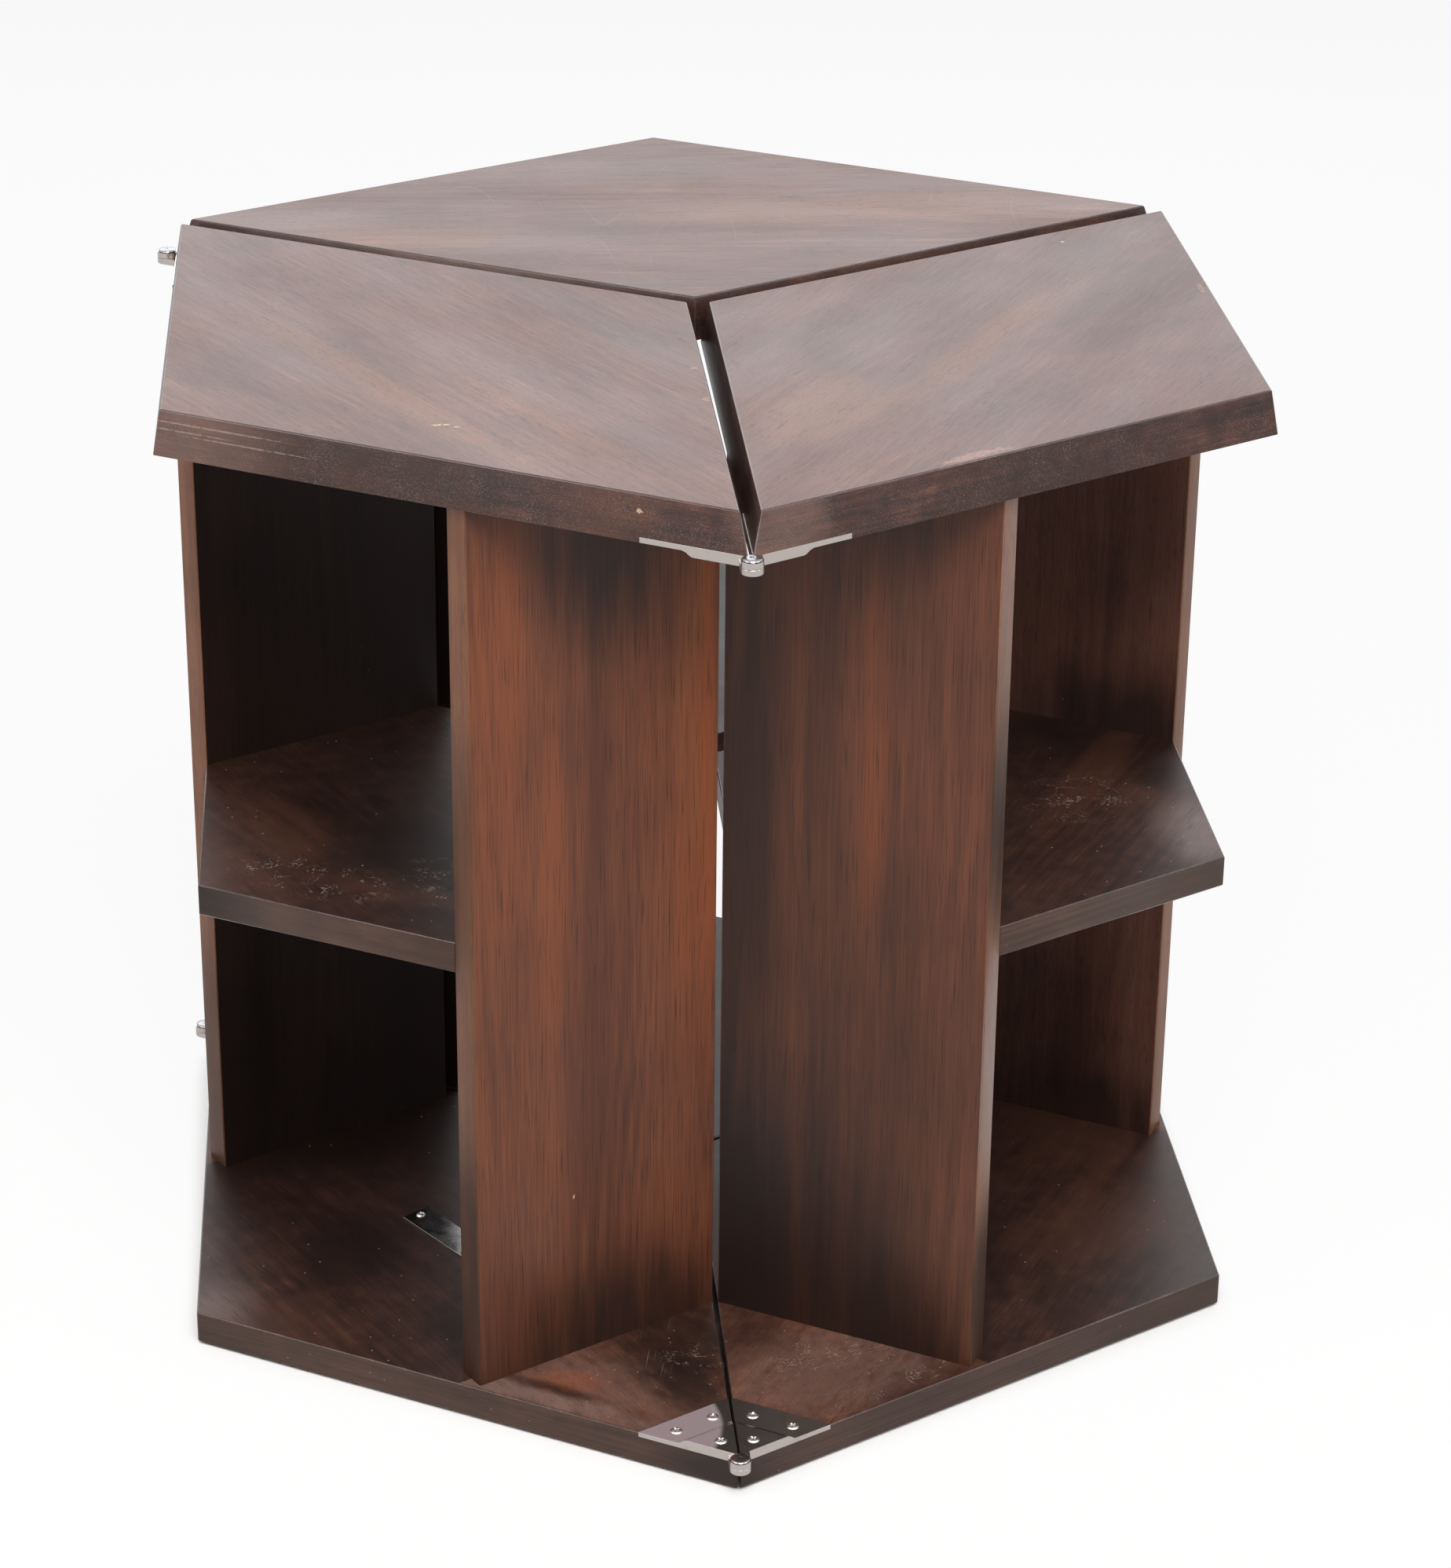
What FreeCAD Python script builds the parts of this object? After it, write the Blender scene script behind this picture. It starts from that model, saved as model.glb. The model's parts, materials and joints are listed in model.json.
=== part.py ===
# Low hexagonal table made of three rhombic shelf units.
#
# On plan each unit is a rhombus with corners of 60 and 120 degrees, and the three
# obtuse corners meet at the middle of the hexagon. The units are chained by two
# vertical hinge lines, at the front corner and at the left rear corner, so the right
# and the back unit swing out. Every unit has a bevelled top board, a base board, a
# shelf and two uprights, put together with loose tenons. Each unit is drawn the same way,
# in its own frame: the origin at the middle of the hexagon, +Y to its outer corner and X
# along its long diagonal. Its placement then turns it to its third of the hexagon.
# Screws and their holes repeat so often that they are drawn with flat sides.
import FreeCAD, Part
import math
import os
import re
import Sketcher

doc = FreeCAD.newDocument("HexagonTable")
sheet = doc.addObject("Spreadsheet::Sheet", "Sizes")

# Driving sizes in millimetres and degrees.
sizes = [
    ("side", 355, "side of the hexagon and of each rhombus"),
    ("total_height", 586, "floor to the top face"),
    ("unit_gap", 1.5, "gap between two closed units"),
    ("right_ajar", 0.36, "degrees that the right unit stands open at rest"),
    ("top_thick", 25, "top board"),
    ("top_bevel", 4.5, "how far the bevel leans in over the top board's thickness"),
    ("base_thick", 20, "base board"),
    ("shelf_thick", 19, "shelf board"),
    ("upright_thick", 19, "upright board"),
    ("upright_reach", 162, "middle of the unit to the outer face of an upright"),
    ("upright_setback", 3, "outer end of an upright to the side of the base"),
    ("lower_clear", 259.5, "clear height of the lower compartment"),
    ("arris", 0.8, "softened edges of the boards"),
    ("glide_high", 1, "glide under the base board"),
    ("glide_wide", 20, "diameter of a glide"),
    ("glide_inset", 38, "obtuse corner to the middle of its glide"),
    ("glide_inset_long", 58, "acute corner to the middle of its glide"),
    ("tenon_thick", 8, "loose tenon, across its board's thickness"),
    ("tenon_wide", 22, "width of a loose tenon"),
    ("tenon_long", 32, "length of a loose tenon"),
    ("tenon_sunk", 12, "length of a tenon inside a top, base or upright face"),
    ("tenon_spacing", 96, "distance between the two tenons of a joint"),
    ("tenon_fit", 0.05, "clearance on each side of a tenon"),
    ("tenon_spare", 0.5, "glue space at the end of a tenon"),
    ("leaf_side", 62.3, "side of the triangular hinge leaf"),
    ("leaf_thick", 3, "thin part of the leaf, let in flush"),
    ("step_side", 33, "side of the leaf's thick corner"),
    ("step_thick", 6, "thickness of the leaf's corner"),
    ("step_ramp", 3.5, "run of the ramp down to the thin part"),
    ("leaf_fit", 0.15, "clearance round the leaf in its recess"),
    ("axis_out", 6.25, "corner of the hexagon to the hinge axis"),
    ("knuckle_wide", 12, "diameter of a knuckle"),
    ("knuckle_high", 3.6, "height of one knuckle"),
    ("knuckle_play", 0.1, "gap between the two knuckles"),
    ("pin_wide", 5, "diameter of a hinge pin"),
    ("pin_play", 0.05, "radial clearance of the pin in the turning knuckle"),
    ("cap_wide", 11, "diameter of the pin's cap"),
    ("cap_high", 1.4, "height of the cap"),
    ("cap_ease", 0.9, "bevel round the cap"),
    ("screw_head", 7, "diameter of a hinge screw's head"),
    ("screw_dome", 1.1, "raised part of the head"),
    ("screw_ease", 0.8, "bevel round the raised part of a screw"),
    ("screw_shank", 3.4, "diameter of the shank"),
    ("screw_long", 15, "length below the leaf's face"),
    ("screw_fit", 0.05, "clearance round head and shank"),
    ("screw_far", 37.3, "outlying screws, along the nearer side"),
    ("screw_near", 12.2, "outlying screws, along the other side"),
    ("screw_corner", 9.7, "corner screw, along both sides"),
    ("plate_long", 64, "plain metal plate on the left unit's base"),
    ("plate_wide", 19.5, "width of the plate"),
    ("plate_thick", 1, "thickness of the plate"),
    ("plate_turn", 5, "degrees that the plate is turned on the base"),
    ("plate_along", -5.5, "middle of the plate, along the long diagonal"),
    ("plate_out", 185, "middle of the plate, out from the hexagon's middle"),
    ("plate_screw_in", 5, "end of the plate to its screw"),
    ("plate_screw_head", 5.6, "diameter of a plate screw's head"),
    ("plate_screw_dome", 1.5, "height of a plate screw's head"),
    ("plate_screw_shank", 2.4, "diameter of a plate screw's shank"),
    ("plate_screw_long", 11, "length below the plate's face"),
]

# Worked out from the driving sizes.
worked_out = [
    ("half_gap", "unit_gap / 2"),
    ("half_long", "side * sqrt(3) / 2"),
    ("acute_x", "half_long - half_gap"),
    ("acute_y", "side / 2 + half_gap / sqrt(3)"),
    ("obtuse_y", "2 * half_gap / sqrt(3)"),
    ("base_top", "glide_high + base_thick"),
    ("shelf_bottom", "base_top + lower_clear"),
    ("top_bottom", "total_height - top_thick"),
    ("upright_high", "top_bottom - base_top"),
    ("upright_inside", "upright_reach - upright_thick"),
    ("upright_middle", "upright_reach - upright_thick / 2"),
    ("upright_out", "side - upright_reach / sqrt(3) - 2 * upright_setback / sqrt(3)"),
    ("upright_in", "upright_reach / sqrt(3) + obtuse_y"),
    ("upright_centre", "(upright_out + upright_in) / 2"),
    ("shelf_out", "upright_out + upright_inside / sqrt(3)"),
    ("shelf_in", "upright_in - upright_inside / sqrt(3)"),
    ("tenon_rest", "tenon_long - tenon_sunk"),
    ("leaf_reach", "leaf_side * sqrt(3) / 2"),
    ("leaf_half", "leaf_side / 2"),
    ("step_reach", "step_side * sqrt(3) / 2"),
    ("foot_reach", "step_reach + step_ramp"),
    ("axis_x", "half_long + axis_out * sqrt(3) / 2"),
    ("axis_y", "side / 2 + axis_out / 2"),
    ("axis_far", "side + axis_out"),
    ("barrel_high", "2 * knuckle_high"),
    ("head_sunk", "(screw_head - screw_shank) / 2"),
    ("low_hinge", "base_top - leaf_thick"),
    ("high_hinge", "top_bottom + leaf_thick - step_thick"),
    ("shift_x", "(axis_out * sqrt(3) / 2 + knuckle_wide / 2) / 2"),
    ("shift_y", "(axis_out + knuckle_wide / 2) / 2"),
]


def fillSheet():
    sheet.set("A1", "name")
    sheet.set("B1", "value")
    sheet.set("C1", "meaning")
    row = 2
    for name, value, meaning in sizes:
        sheet.set(f"A{row}", name)
        sheet.set(f"B{row}", str(value))
        sheet.setAlias(f"B{row}", name)
        sheet.set(f"C{row}", meaning)
        row = row + 1
    for name, formula in worked_out:
        sheet.set(f"A{row}", name)
        sheet.set(f"B{row}", f"={formula}")
        sheet.setAlias(f"B{row}", name)
        row = row + 1
    doc.recompute()


names = {entry[0] for entry in sizes + worked_out}


def linked(formula):
    """A formula in the sheet's own words, as an expression for another object."""
    def onSheet(found):
        word = found.group()
        return f"Sizes.{word}" if word in names else word
    return re.sub(r"[a-z_]+", onSheet, formula)


def bind(target, path, formula):
    target.setExpression(path, linked(formula))


def size(formula):
    return float(sheet.evalExpression(linked(formula)))


# Units: the turn from the drawing frame, then where the turned origin stands.
open_x = "axis_far * sin(right_ajar * 1deg)"
open_y = "axis_far * (1 - cos(right_ajar * 1deg))"
units = {
    "left": ("120", "shift_x", "shift_y"),
    "right": ("240 - right_ajar", f"shift_x + {open_x}", f"shift_y - {open_y}"),
    "back": ("0", "shift_x", "shift_y"),
}
pieces = []
cuts = []
startRadius = 10  # rough size of an outline before its dimensions pull it into place
flatSides = 10  # sides of the screws and their holes, and of the glides
closeBy = 0.01  # levels this near each other are the same


def place(piece, unit, height="0"):
    turn, across, along = units[unit]
    piece.Placement.Rotation = FreeCAD.Rotation(FreeCAD.Vector(0, 0, 1), 1)
    bind(piece, "Placement.Rotation.Angle", turn)
    bind(piece, "Placement.Base.x", across)
    bind(piece, "Placement.Base.y", along)
    bind(piece, "Placement.Base.z", height)
    pieces.append(piece)


def newBody(label, unit, height="0"):
    body = doc.addObject("PartDesign::Body", label)
    body.Label = label
    place(body, unit, height)
    return body


def newSketch(body, plane="XY_Plane", lift="0"):
    sketch = body.newObject("Sketcher::SketchObject", "Sketch")
    support = [part for part in body.Origin.OriginFeatures if part.Role == plane][0]
    sketch.AttachmentSupport = [(support, "")]
    sketch.MapMode = "FlatFace"
    bind(sketch, "AttachmentOffset.Base.z", lift)
    return sketch


def dimension(sketch, entries):
    """Add dimensions, each with its kind, what it measures and a formula."""
    first = sketch.ConstraintCount
    sketch.addConstraint([Sketcher.Constraint(kind, *ends, 1.0) for kind, ends, formula in entries])
    for step, entry in enumerate(entries):
        bind(sketch, f"Constraints[{first + step}]", entry[2])


def drawPolygon(sketch, corners):
    """Closed outline through corners, each a pair of formulas."""
    first = sketch.GeometryCount
    count = len(corners)
    spots = []
    for step in range(count):
        angle = 2 * math.pi * step / count
        spots.append(FreeCAD.Vector(math.cos(angle), math.sin(angle), 0) * startRadius)
    joins = []
    places = []
    for step in range(count):
        following = (step + 1) % count
        sketch.addGeometry(Part.LineSegment(spots[step], spots[following]))
        joins.append(Sketcher.Constraint("Coincident", first + step, 2, first + following, 1))
        places.append(("DistanceX", (-1, 1, first + step, 1), corners[step][0]))
        places.append(("DistanceY", (-1, 1, first + step, 1), corners[step][1]))
    sketch.addConstraint(joins)
    dimension(sketch, places)


def drawCircle(sketch, centre, radius):
    index = sketch.GeometryCount
    up = FreeCAD.Vector(0, 0, 1)
    sketch.addGeometry(Part.Circle(FreeCAD.Vector(1, 1, 0), up, 1))
    dimension(sketch, [
        ("DistanceX", (-1, 1, index, 3), centre[0]),
        ("DistanceY", (-1, 1, index, 3), centre[1]),
        ("Radius", (index,), radius),
    ])


def drawFacets(sketch, centre, radius):
    """A circle with flat sides, its corners at the radius."""
    corners = []
    for step in range(flatSides):
        turn = f"{360 * step / flatSides}deg"
        across = f"{centre[0]} + ({radius}) * cos({turn})"
        along = f"{centre[1]} + ({radius}) * sin({turn})"
        corners.append((across, along))
    drawPolygon(sketch, corners)


def drawRectangle(sketch, centre, sides):
    left, right = (f"{centre[0]} {sign} ({sides[0]}) / 2" for sign in ("-", "+"))
    low, high = (f"{centre[1]} {sign} ({sides[1]}) / 2" for sign in ("-", "+"))
    drawPolygon(sketch, [(left, low), (right, low), (right, high), (left, high)])


def pad(body, sketch, length, taper=None):
    feature = body.newObject("PartDesign::Pad", "Pad")
    feature.Profile = sketch
    bind(feature, "Length", length)
    if taper:
        bind(feature, "TaperAngle", taper)
    return feature


def pocket(body, sketch, depth, forward=False):
    """Cut against the sketch's normal, or along it when forward is set."""
    feature = body.newObject("PartDesign::Pocket", "Pocket")
    feature.Profile = sketch
    feature.Reversed = forward
    bind(feature, "Length", depth)
    cuts.append(feature)
    return feature


def edgesWhere(feature, test):
    doc.recompute()
    return [f"Edge{index + 1}" for index, edge in enumerate(feature.Shape.Edges) if test(edge)]


def liesAt(edge, level):
    box = edge.BoundBox
    return abs(box.ZMin - level) < closeBy and abs(box.ZMax - level) < closeBy


def bevel(body, feature, test, width="arris"):
    """Bevel the edges that pass the test."""
    chamfer = body.newObject("PartDesign::Chamfer", "Chamfer")
    chamfer.Base = (feature, edgesWhere(feature, test))
    bind(chamfer, "Size", width)
    return chamfer


def rhombus():
    return [
        ("0", "obtuse_y"),
        ("acute_x", "acute_y"),
        ("0", "side"),
        ("-acute_x", "acute_y"),
    ]


def uprightTenons():
    """Where the tenons of both uprights stand on plan."""
    spots = []
    for sideways in ("-upright_middle", "upright_middle"):
        for sign in ("-", "+"):
            spots.append((sideways, f"upright_centre {sign} tenon_spacing / 2"))
    return spots


def shelfTenons(height):
    return [(f"upright_centre {sign} tenon_spacing / 2", height) for sign in ("-", "+")]


def drawTenons(sketch, spots, plane, spare="0"):
    """Ends of tenons: thick across their board, wide along it, with spare room in all."""
    sides = (f"tenon_thick + {spare}", f"tenon_wide + {spare}")
    if plane == "YZ_Plane":
        sides = (sides[1], sides[0])
    for spot in spots:
        drawRectangle(sketch, spot, sides)


def cutMortises(body, lift, depth, spots, forward=False, plane="XY_Plane"):
    sketch = newSketch(body, plane, lift)
    drawTenons(sketch, spots, plane, "2 * tenon_fit")
    pocket(body, sketch, f"{depth} + tenon_spare", forward)


def cutFacets(body, lift, depth, spots, shank, forward=False):
    """A hole with flat sides on each spot, for screws with this shank."""
    sketch = newSketch(body, "XY_Plane", lift)
    for spot in spots:
        drawFacets(sketch, spot, f"{shank} / 2 + screw_fit")
    return pocket(body, sketch, depth, forward)


def screwSpots(hand):
    """Hinge screws on plan at the acute corner on that hand: two outlying, one at the corner."""
    spots = []
    for along_out, along_in in (
        ("screw_far", "screw_near"),
        ("screw_near", "screw_far"),
        ("screw_corner", "screw_corner"),
    ):
        inward = f"acute_x - ({along_out} + {along_in}) * sqrt(3) / 2"
        outward = f"acute_y + ({along_out} - {along_in}) / 2"
        spots.append((f"{hand}({inward})", outward))
    return spots


def cutLeafRecess(body, hand, lift, forward):
    """A straight housing across the acute corner, as deep as the leaf's thin part."""
    sketch = newSketch(body, "XY_Plane", lift)
    inner = f"{hand}(acute_x - leaf_reach - leaf_fit)"
    outer = f"{hand}(acute_x + leaf_thick)"
    low = "acute_y - leaf_half - leaf_thick"
    high = "acute_y + leaf_half + leaf_thick"
    drawPolygon(sketch, [(inner, low), (outer, low), (outer, high), (inner, high)])
    pocket(body, sketch, "leaf_thick", forward)


def hingeHands(unit):
    return {"left": ("-", ""), "right": ("",), "back": ("-",)}[unit]


def makeTopBoard(unit):
    body = newBody(f"{unit}_top_board", unit, "top_bottom")
    sketch = newSketch(body)
    drawPolygon(sketch, rhombus())
    block = pad(body, sketch, "top_thick", "-atan(top_bevel / top_thick)")
    bevel(body, block, lambda edge: edge.BoundBox.ZMax > size("top_thick") / 2)
    cutMortises(body, "0", "tenon_sunk", uprightTenons(), True)
    for hand in hingeHands(unit):
        cutLeafRecess(body, hand, "0", True)
        depth = "screw_long - leaf_thick"
        cutFacets(body, "leaf_thick", depth, screwSpots(hand), "screw_shank", True)


def makeBaseBoard(unit):
    body = newBody(f"{unit}_base_board", unit, "glide_high")
    sketch = newSketch(body)
    drawPolygon(sketch, rhombus())
    block = pad(body, sketch, "base_thick")
    bevel(body, block, lambda edge: True)
    cutMortises(body, "base_thick", "tenon_sunk", uprightTenons())
    for hand in hingeHands(unit):
        cutLeafRecess(body, hand, "base_thick", False)
        depth = "screw_long - leaf_thick"
        cutFacets(body, "base_thick - leaf_thick", depth, screwSpots(hand), "screw_shank")
    if unit == "left":
        depth = "plate_screw_long - plate_thick"
        cutFacets(body, "base_thick", depth, plateScrewSpots(), "plate_screw_shank")


def makeUpright(label, unit, hand):
    body = newBody(label, unit, "base_top")
    sketch = newSketch(body)
    inner = f"{hand}upright_inside"
    outer = f"{hand}upright_reach"
    corners = [(inner, "upright_in"), (outer, "upright_in")]
    corners = corners + [(outer, "upright_out"), (inner, "upright_out")]
    drawPolygon(sketch, corners)
    block = pad(body, sketch, "upright_high")
    bevel(body, block, lambda edge: edge.BoundBox.ZLength > size("upright_high") / 2)
    spots = [spot for spot in uprightTenons() if spot[0].startswith("-") == (hand == "-")]
    cutMortises(body, "0", "tenon_rest", spots, True)
    cutMortises(body, "upright_high", "tenon_rest", spots)
    spots = shelfTenons("shelf_bottom - base_top + shelf_thick / 2")
    cutMortises(body, inner, "tenon_sunk", spots, hand == "", "YZ_Plane")


def makeShelf(unit):
    body = newBody(f"{unit}_shelf", unit, "shelf_bottom")
    sketch = newSketch(body)
    corners = [("0", "shelf_in"), ("upright_inside", "upright_in")]
    corners = corners + [("upright_inside", "upright_out"), ("0", "shelf_out")]
    corners = corners + [("-upright_inside", "upright_out"), ("-upright_inside", "upright_in")]
    drawPolygon(sketch, corners)
    block = pad(body, sketch, "shelf_thick")
    reach = size("upright_inside") / 2
    bevel(body, block, lambda edge: edge.BoundBox.XLength > reach)
    spots = shelfTenons("shelf_thick / 2")
    cutMortises(body, "upright_inside", "tenon_rest", spots, False, "YZ_Plane")
    cutMortises(body, "-upright_inside", "tenon_rest", spots, True, "YZ_Plane")


def leafTriangle(hand, reach, half):
    return [
        (f"{hand}acute_x", "acute_y"),
        (f"{hand}(acute_x - {reach})", f"acute_y - {half}"),
        (f"{hand}(acute_x - {reach})", f"acute_y + {half}"),
    ]


def neckCorners(hand):
    """From the barrel into the leaf, between the closed gap and the barrel's tangent."""
    corners = []
    run = "(axis_out + step_side / 2)"
    for along, off in (
        ("0", "half_gap"),
        ("0", "knuckle_wide / 2"),
        (run, "knuckle_wide / 2"),
        (run, "half_gap"),
    ):
        across = f"{hand}(axis_x - {along} * sqrt(3) / 2 - {off} / 2)"
        outward = f"axis_y - {along} / 2 + {off} * sqrt(3) / 2"
        corners.append((across, outward))
    return corners


def cutRamp(body, hand, face, root):
    """Slope the thick corner down to the thin part, along the leaf's long edge."""
    ramp = newSketch(body, "XZ_Plane", "-acute_y")
    far = "(foot_reach + step_ramp)"
    drawPolygon(ramp, [
        (f"{hand}(acute_x - step_reach)", face),
        (f"{hand}(acute_x - foot_reach)", root),
        (f"{hand}(acute_x - {far})", root),
        (f"{hand}(acute_x - {far})", face),
    ])
    slope = pocket(body, ramp, "2 * leaf_side")
    slope.SideType = "Symmetric"


def cutScrewHoles(body, spots, face, thick, low):
    """Countersunk holes from the leaf's face, which looks up on a low leaf."""
    holes = cutFacets(body, face, thick, spots, "screw_shank", not low)
    level = size(face)
    short = size("screw_shank") / 2
    rims = bevel(
        body, holes, lambda edge: liesAt(edge, level) and edge.Length < short, "head_sunk",
    )
    cuts.append(rims)


def makeLeaf(label, unit, hand, low, moving):
    """Leaf with its bottom at z 0. A low one lies face up, a high one face down."""
    body = newBody(label, unit, "low_hinge" if low else "high_hinge")
    face = "step_thick" if low else "0"
    root = "leaf_thick" if low else "step_thick - leaf_thick"
    thin = newSketch(body, "XY_Plane", "0" if low else root)
    drawPolygon(thin, leafTriangle(hand, "leaf_reach", "leaf_half"))
    pad(body, thin, "leaf_thick")
    thick = newSketch(body)
    drawPolygon(thick, leafTriangle(hand, "foot_reach", "foot_reach / sqrt(3)"))
    pad(body, thick, "step_thick")
    cutRamp(body, hand, face, root)
    floor = "knuckle_high + knuckle_play" if moving else "0"
    neck = newSketch(body, "XY_Plane", floor)
    drawPolygon(neck, neckCorners(hand))
    pad(body, neck, f"step_thick - ({floor})" if moving else "knuckle_high")
    axis = (f"{hand}axis_x", "axis_y")
    barrel = newSketch(body, "XY_Plane", floor)
    drawCircle(barrel, axis, "knuckle_wide / 2")
    pad(body, barrel, "knuckle_high - knuckle_play" if moving else "knuckle_high")
    bore = newSketch(body, "XY_Plane", "barrel_high")
    drawCircle(bore, axis, "pin_wide / 2 + pin_play" if moving else "pin_wide / 2")
    pocket(body, bore, "barrel_high")
    cutScrewHoles(body, screwSpots(hand)[:2], root, "leaf_thick", low)
    cutScrewHoles(body, screwSpots(hand)[2:], face, "step_thick", low)


def revolved(body, across, away, corners):
    """Turn a half profile about the upright line at (across, away)."""
    sketch = newSketch(body, "XZ_Plane", f"-({away})")
    bind(sketch, "AttachmentOffset.Base.x", across)
    drawPolygon(sketch, corners)
    turned = body.newObject("PartDesign::Revolution", "Revolution")
    turned.Profile = sketch
    turned.ReferenceAxis = (sketch, ["V_Axis"])
    turned.Angle = 360


def makePin(label, hand, low):
    """Pressed into the left unit's knuckle, with a bevelled cap over the turning one."""
    body = newBody(label, "left", "low_hinge" if low else "high_hinge")
    under = "barrel_high + knuckle_play"
    revolved(body, f"{hand}axis_x", "axis_y", [
        ("0", "0"),
        ("pin_wide / 2", "0"),
        ("pin_wide / 2", under),
        ("cap_wide / 2", under),
        ("cap_wide / 2", f"{under} + cap_high - cap_ease"),
        ("cap_wide / 2 - cap_ease", f"{under} + cap_high"),
        ("0", f"{under} + cap_high"),
    ])


def addFacets(body, spots, lift, radius, length, upward):
    """A flat-sided pad on each spot, rising from lift, or going down from it."""
    sketch = newSketch(body, "XY_Plane", lift)
    for spot in spots:
        drawFacets(sketch, spot, radius)
    block = pad(body, sketch, length)
    block.Reversed = not upward
    return block


def makeHingeScrews(unit):
    """Raised countersunk screws, two in each leaf's thin part and one in its corner."""
    body = newBody(f"{unit}_hinge_screws", unit)
    body.AllowCompound = True
    for low in (True, False):
        root = "base_top" if low else "top_bottom"
        corner = "low_hinge + step_thick" if low else "high_hinge"
        up, down = ("+", "-") if low else ("-", "+")
        for face, first, last in ((root, 0, 2), (corner, 2, 3)):
            spots = []
            for hand in hingeHands(unit):
                spots = spots + screwSpots(hand)[first:last]
            crown = size(f"{face} {up} screw_dome")
            seat = size(f"{face} {down} head_sunk")
            head = (f"{face} {down} head_sunk", "screw_head / 2", "head_sunk + screw_dome")
            block = addFacets(body, spots, *head, low)
            block = bevel(body, block, lambda edge: liesAt(edge, seat), "head_sunk - 2 * screw_fit")
            bevel(body, block, lambda edge: liesAt(edge, crown), "screw_ease")
            shank = (f"{face} {down} head_sunk", "screw_shank / 2", "screw_long - head_sunk")
            addFacets(body, spots, *shank, not low)


def makeTenons(unit):
    """Loose hardwood tenons in the ends of both uprights and of the shelf."""
    body = newBody(f"{unit}_tenons", unit)
    body.AllowCompound = True
    for lift, upward in (("base_top - tenon_sunk", True), ("top_bottom + tenon_sunk", False)):
        sketch = newSketch(body, "XY_Plane", lift)
        drawTenons(sketch, uprightTenons(), "XY_Plane")
        bars = pad(body, sketch, "tenon_long")
        bars.Reversed = not upward
    for hand in ("-", ""):
        sketch = newSketch(body, "YZ_Plane", f"{hand}(upright_inside + tenon_sunk)")
        drawTenons(sketch, shelfTenons("shelf_bottom + shelf_thick / 2"), "YZ_Plane")
        bars = pad(body, sketch, "tenon_long")
        bars.Reversed = hand == ""


def makeGlides(unit):
    """Four low round glides under the base board."""
    body = newBody(f"{unit}_glides", unit)
    body.AllowCompound = True
    sketch = newSketch(body)
    drawFacets(sketch, ("0", "obtuse_y + glide_inset"), "glide_wide / 2")
    drawFacets(sketch, ("0", "side - glide_inset"), "glide_wide / 2")
    drawFacets(sketch, ("acute_x - glide_inset_long", "acute_y"), "glide_wide / 2")
    drawFacets(sketch, ("glide_inset_long - acute_x", "acute_y"), "glide_wide / 2")
    pad(body, sketch, "glide_high")


def plateSpot(along, across):
    """A place on the turned plate, from its middle, on plan."""
    turned = "plate_turn * 1deg"
    sideways = f"plate_along + ({along}) * cos({turned}) - ({across}) * sin({turned})"
    outward = f"plate_out + ({along}) * sin({turned}) + ({across}) * cos({turned})"
    return (sideways, outward)


def plateScrewSpots():
    return [plateSpot(f"{sign}(plate_long / 2 - plate_screw_in)", "0") for sign in ("-", "")]


def makePlate():
    body = newBody("blank_plate", "left", "base_top")
    sketch = newSketch(body)
    ends = (("-", "-"), ("", "-"), ("", ""), ("-", ""))
    drawPolygon(sketch, [plateSpot(f"{a}plate_long / 2", f"{b}plate_wide / 2") for a, b in ends])
    pad(body, sketch, "plate_thick")
    cutFacets(body, "plate_thick", "plate_thick", plateScrewSpots(), "plate_screw_shank")


def makePlateScrews():
    body = newBody("plate_screws", "left", "base_top")
    body.AllowCompound = True
    spots = plateScrewSpots()
    dome = ("plate_thick", "plate_screw_head / 2", "plate_screw_dome")
    block = addFacets(body, spots, *dome, True)
    crown = size("plate_thick + plate_screw_dome")
    bevel(body, block, lambda edge: liesAt(edge, crown), "screw_ease")
    shank = ("plate_thick", "plate_screw_shank / 2", "plate_screw_long")
    addFacets(body, spots, *shank, False)


def checkModel():
    for item in doc.Objects:
        if "Invalid" in item.State or "Error" in item.State:
            raise RuntimeError(f"{item.Label} failed: {item.State}")
    for piece in pieces:
        if piece.Shape.isNull() or not piece.Shape.isValid():
            raise RuntimeError(f"{piece.Label} has no valid shape")
    for cut in cuts:
        if cut.BaseFeature.Shape.Volume - cut.Shape.Volume < 0.01:
            raise RuntimeError(f"{cut.Label} cuts nothing")


fillSheet()
for unit in units:
    makeTopBoard(unit)
    makeBaseBoard(unit)
    makeShelf(unit)
    makeTenons(unit)
    makeGlides(unit)
    makeHingeScrews(unit)
makeUpright("left_front_upright", "left", "-")
makeUpright("left_rear_upright", "left", "")
makeUpright("right_front_upright", "right", "")
makeUpright("right_rear_upright", "right", "-")
makeUpright("back_left_upright", "back", "-")
makeUpright("back_right_upright", "back", "")
for level in ("bottom", "top"):
    low = level == "bottom"
    makeLeaf(f"front_{level}_leaf_left", "left", "-", low, False)
    makeLeaf(f"front_{level}_leaf_right", "right", "", low, True)
    makePin(f"front_{level}_pin", "-", low)
    makeLeaf(f"rear_{level}_leaf_left", "left", "", low, False)
    makeLeaf(f"rear_{level}_leaf_back", "back", "-", low, True)
    makePin(f"rear_{level}_pin", "", low)
makePlate()
makePlateScrews()
doc.recompute()
checkModel()

os.makedirs("parts", exist_ok=True)
for piece in pieces:
    piece.Shape.exportStep(f"parts/{piece.Label}.step")
print(len(pieces), "pieces written")
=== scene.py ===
# Low hexagonal table made of three rhombic shelf units, chained by two pairs of corner hinges.
import bmesh
import bpy
import json
import math
from mathutils import Matrix, Vector


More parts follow.
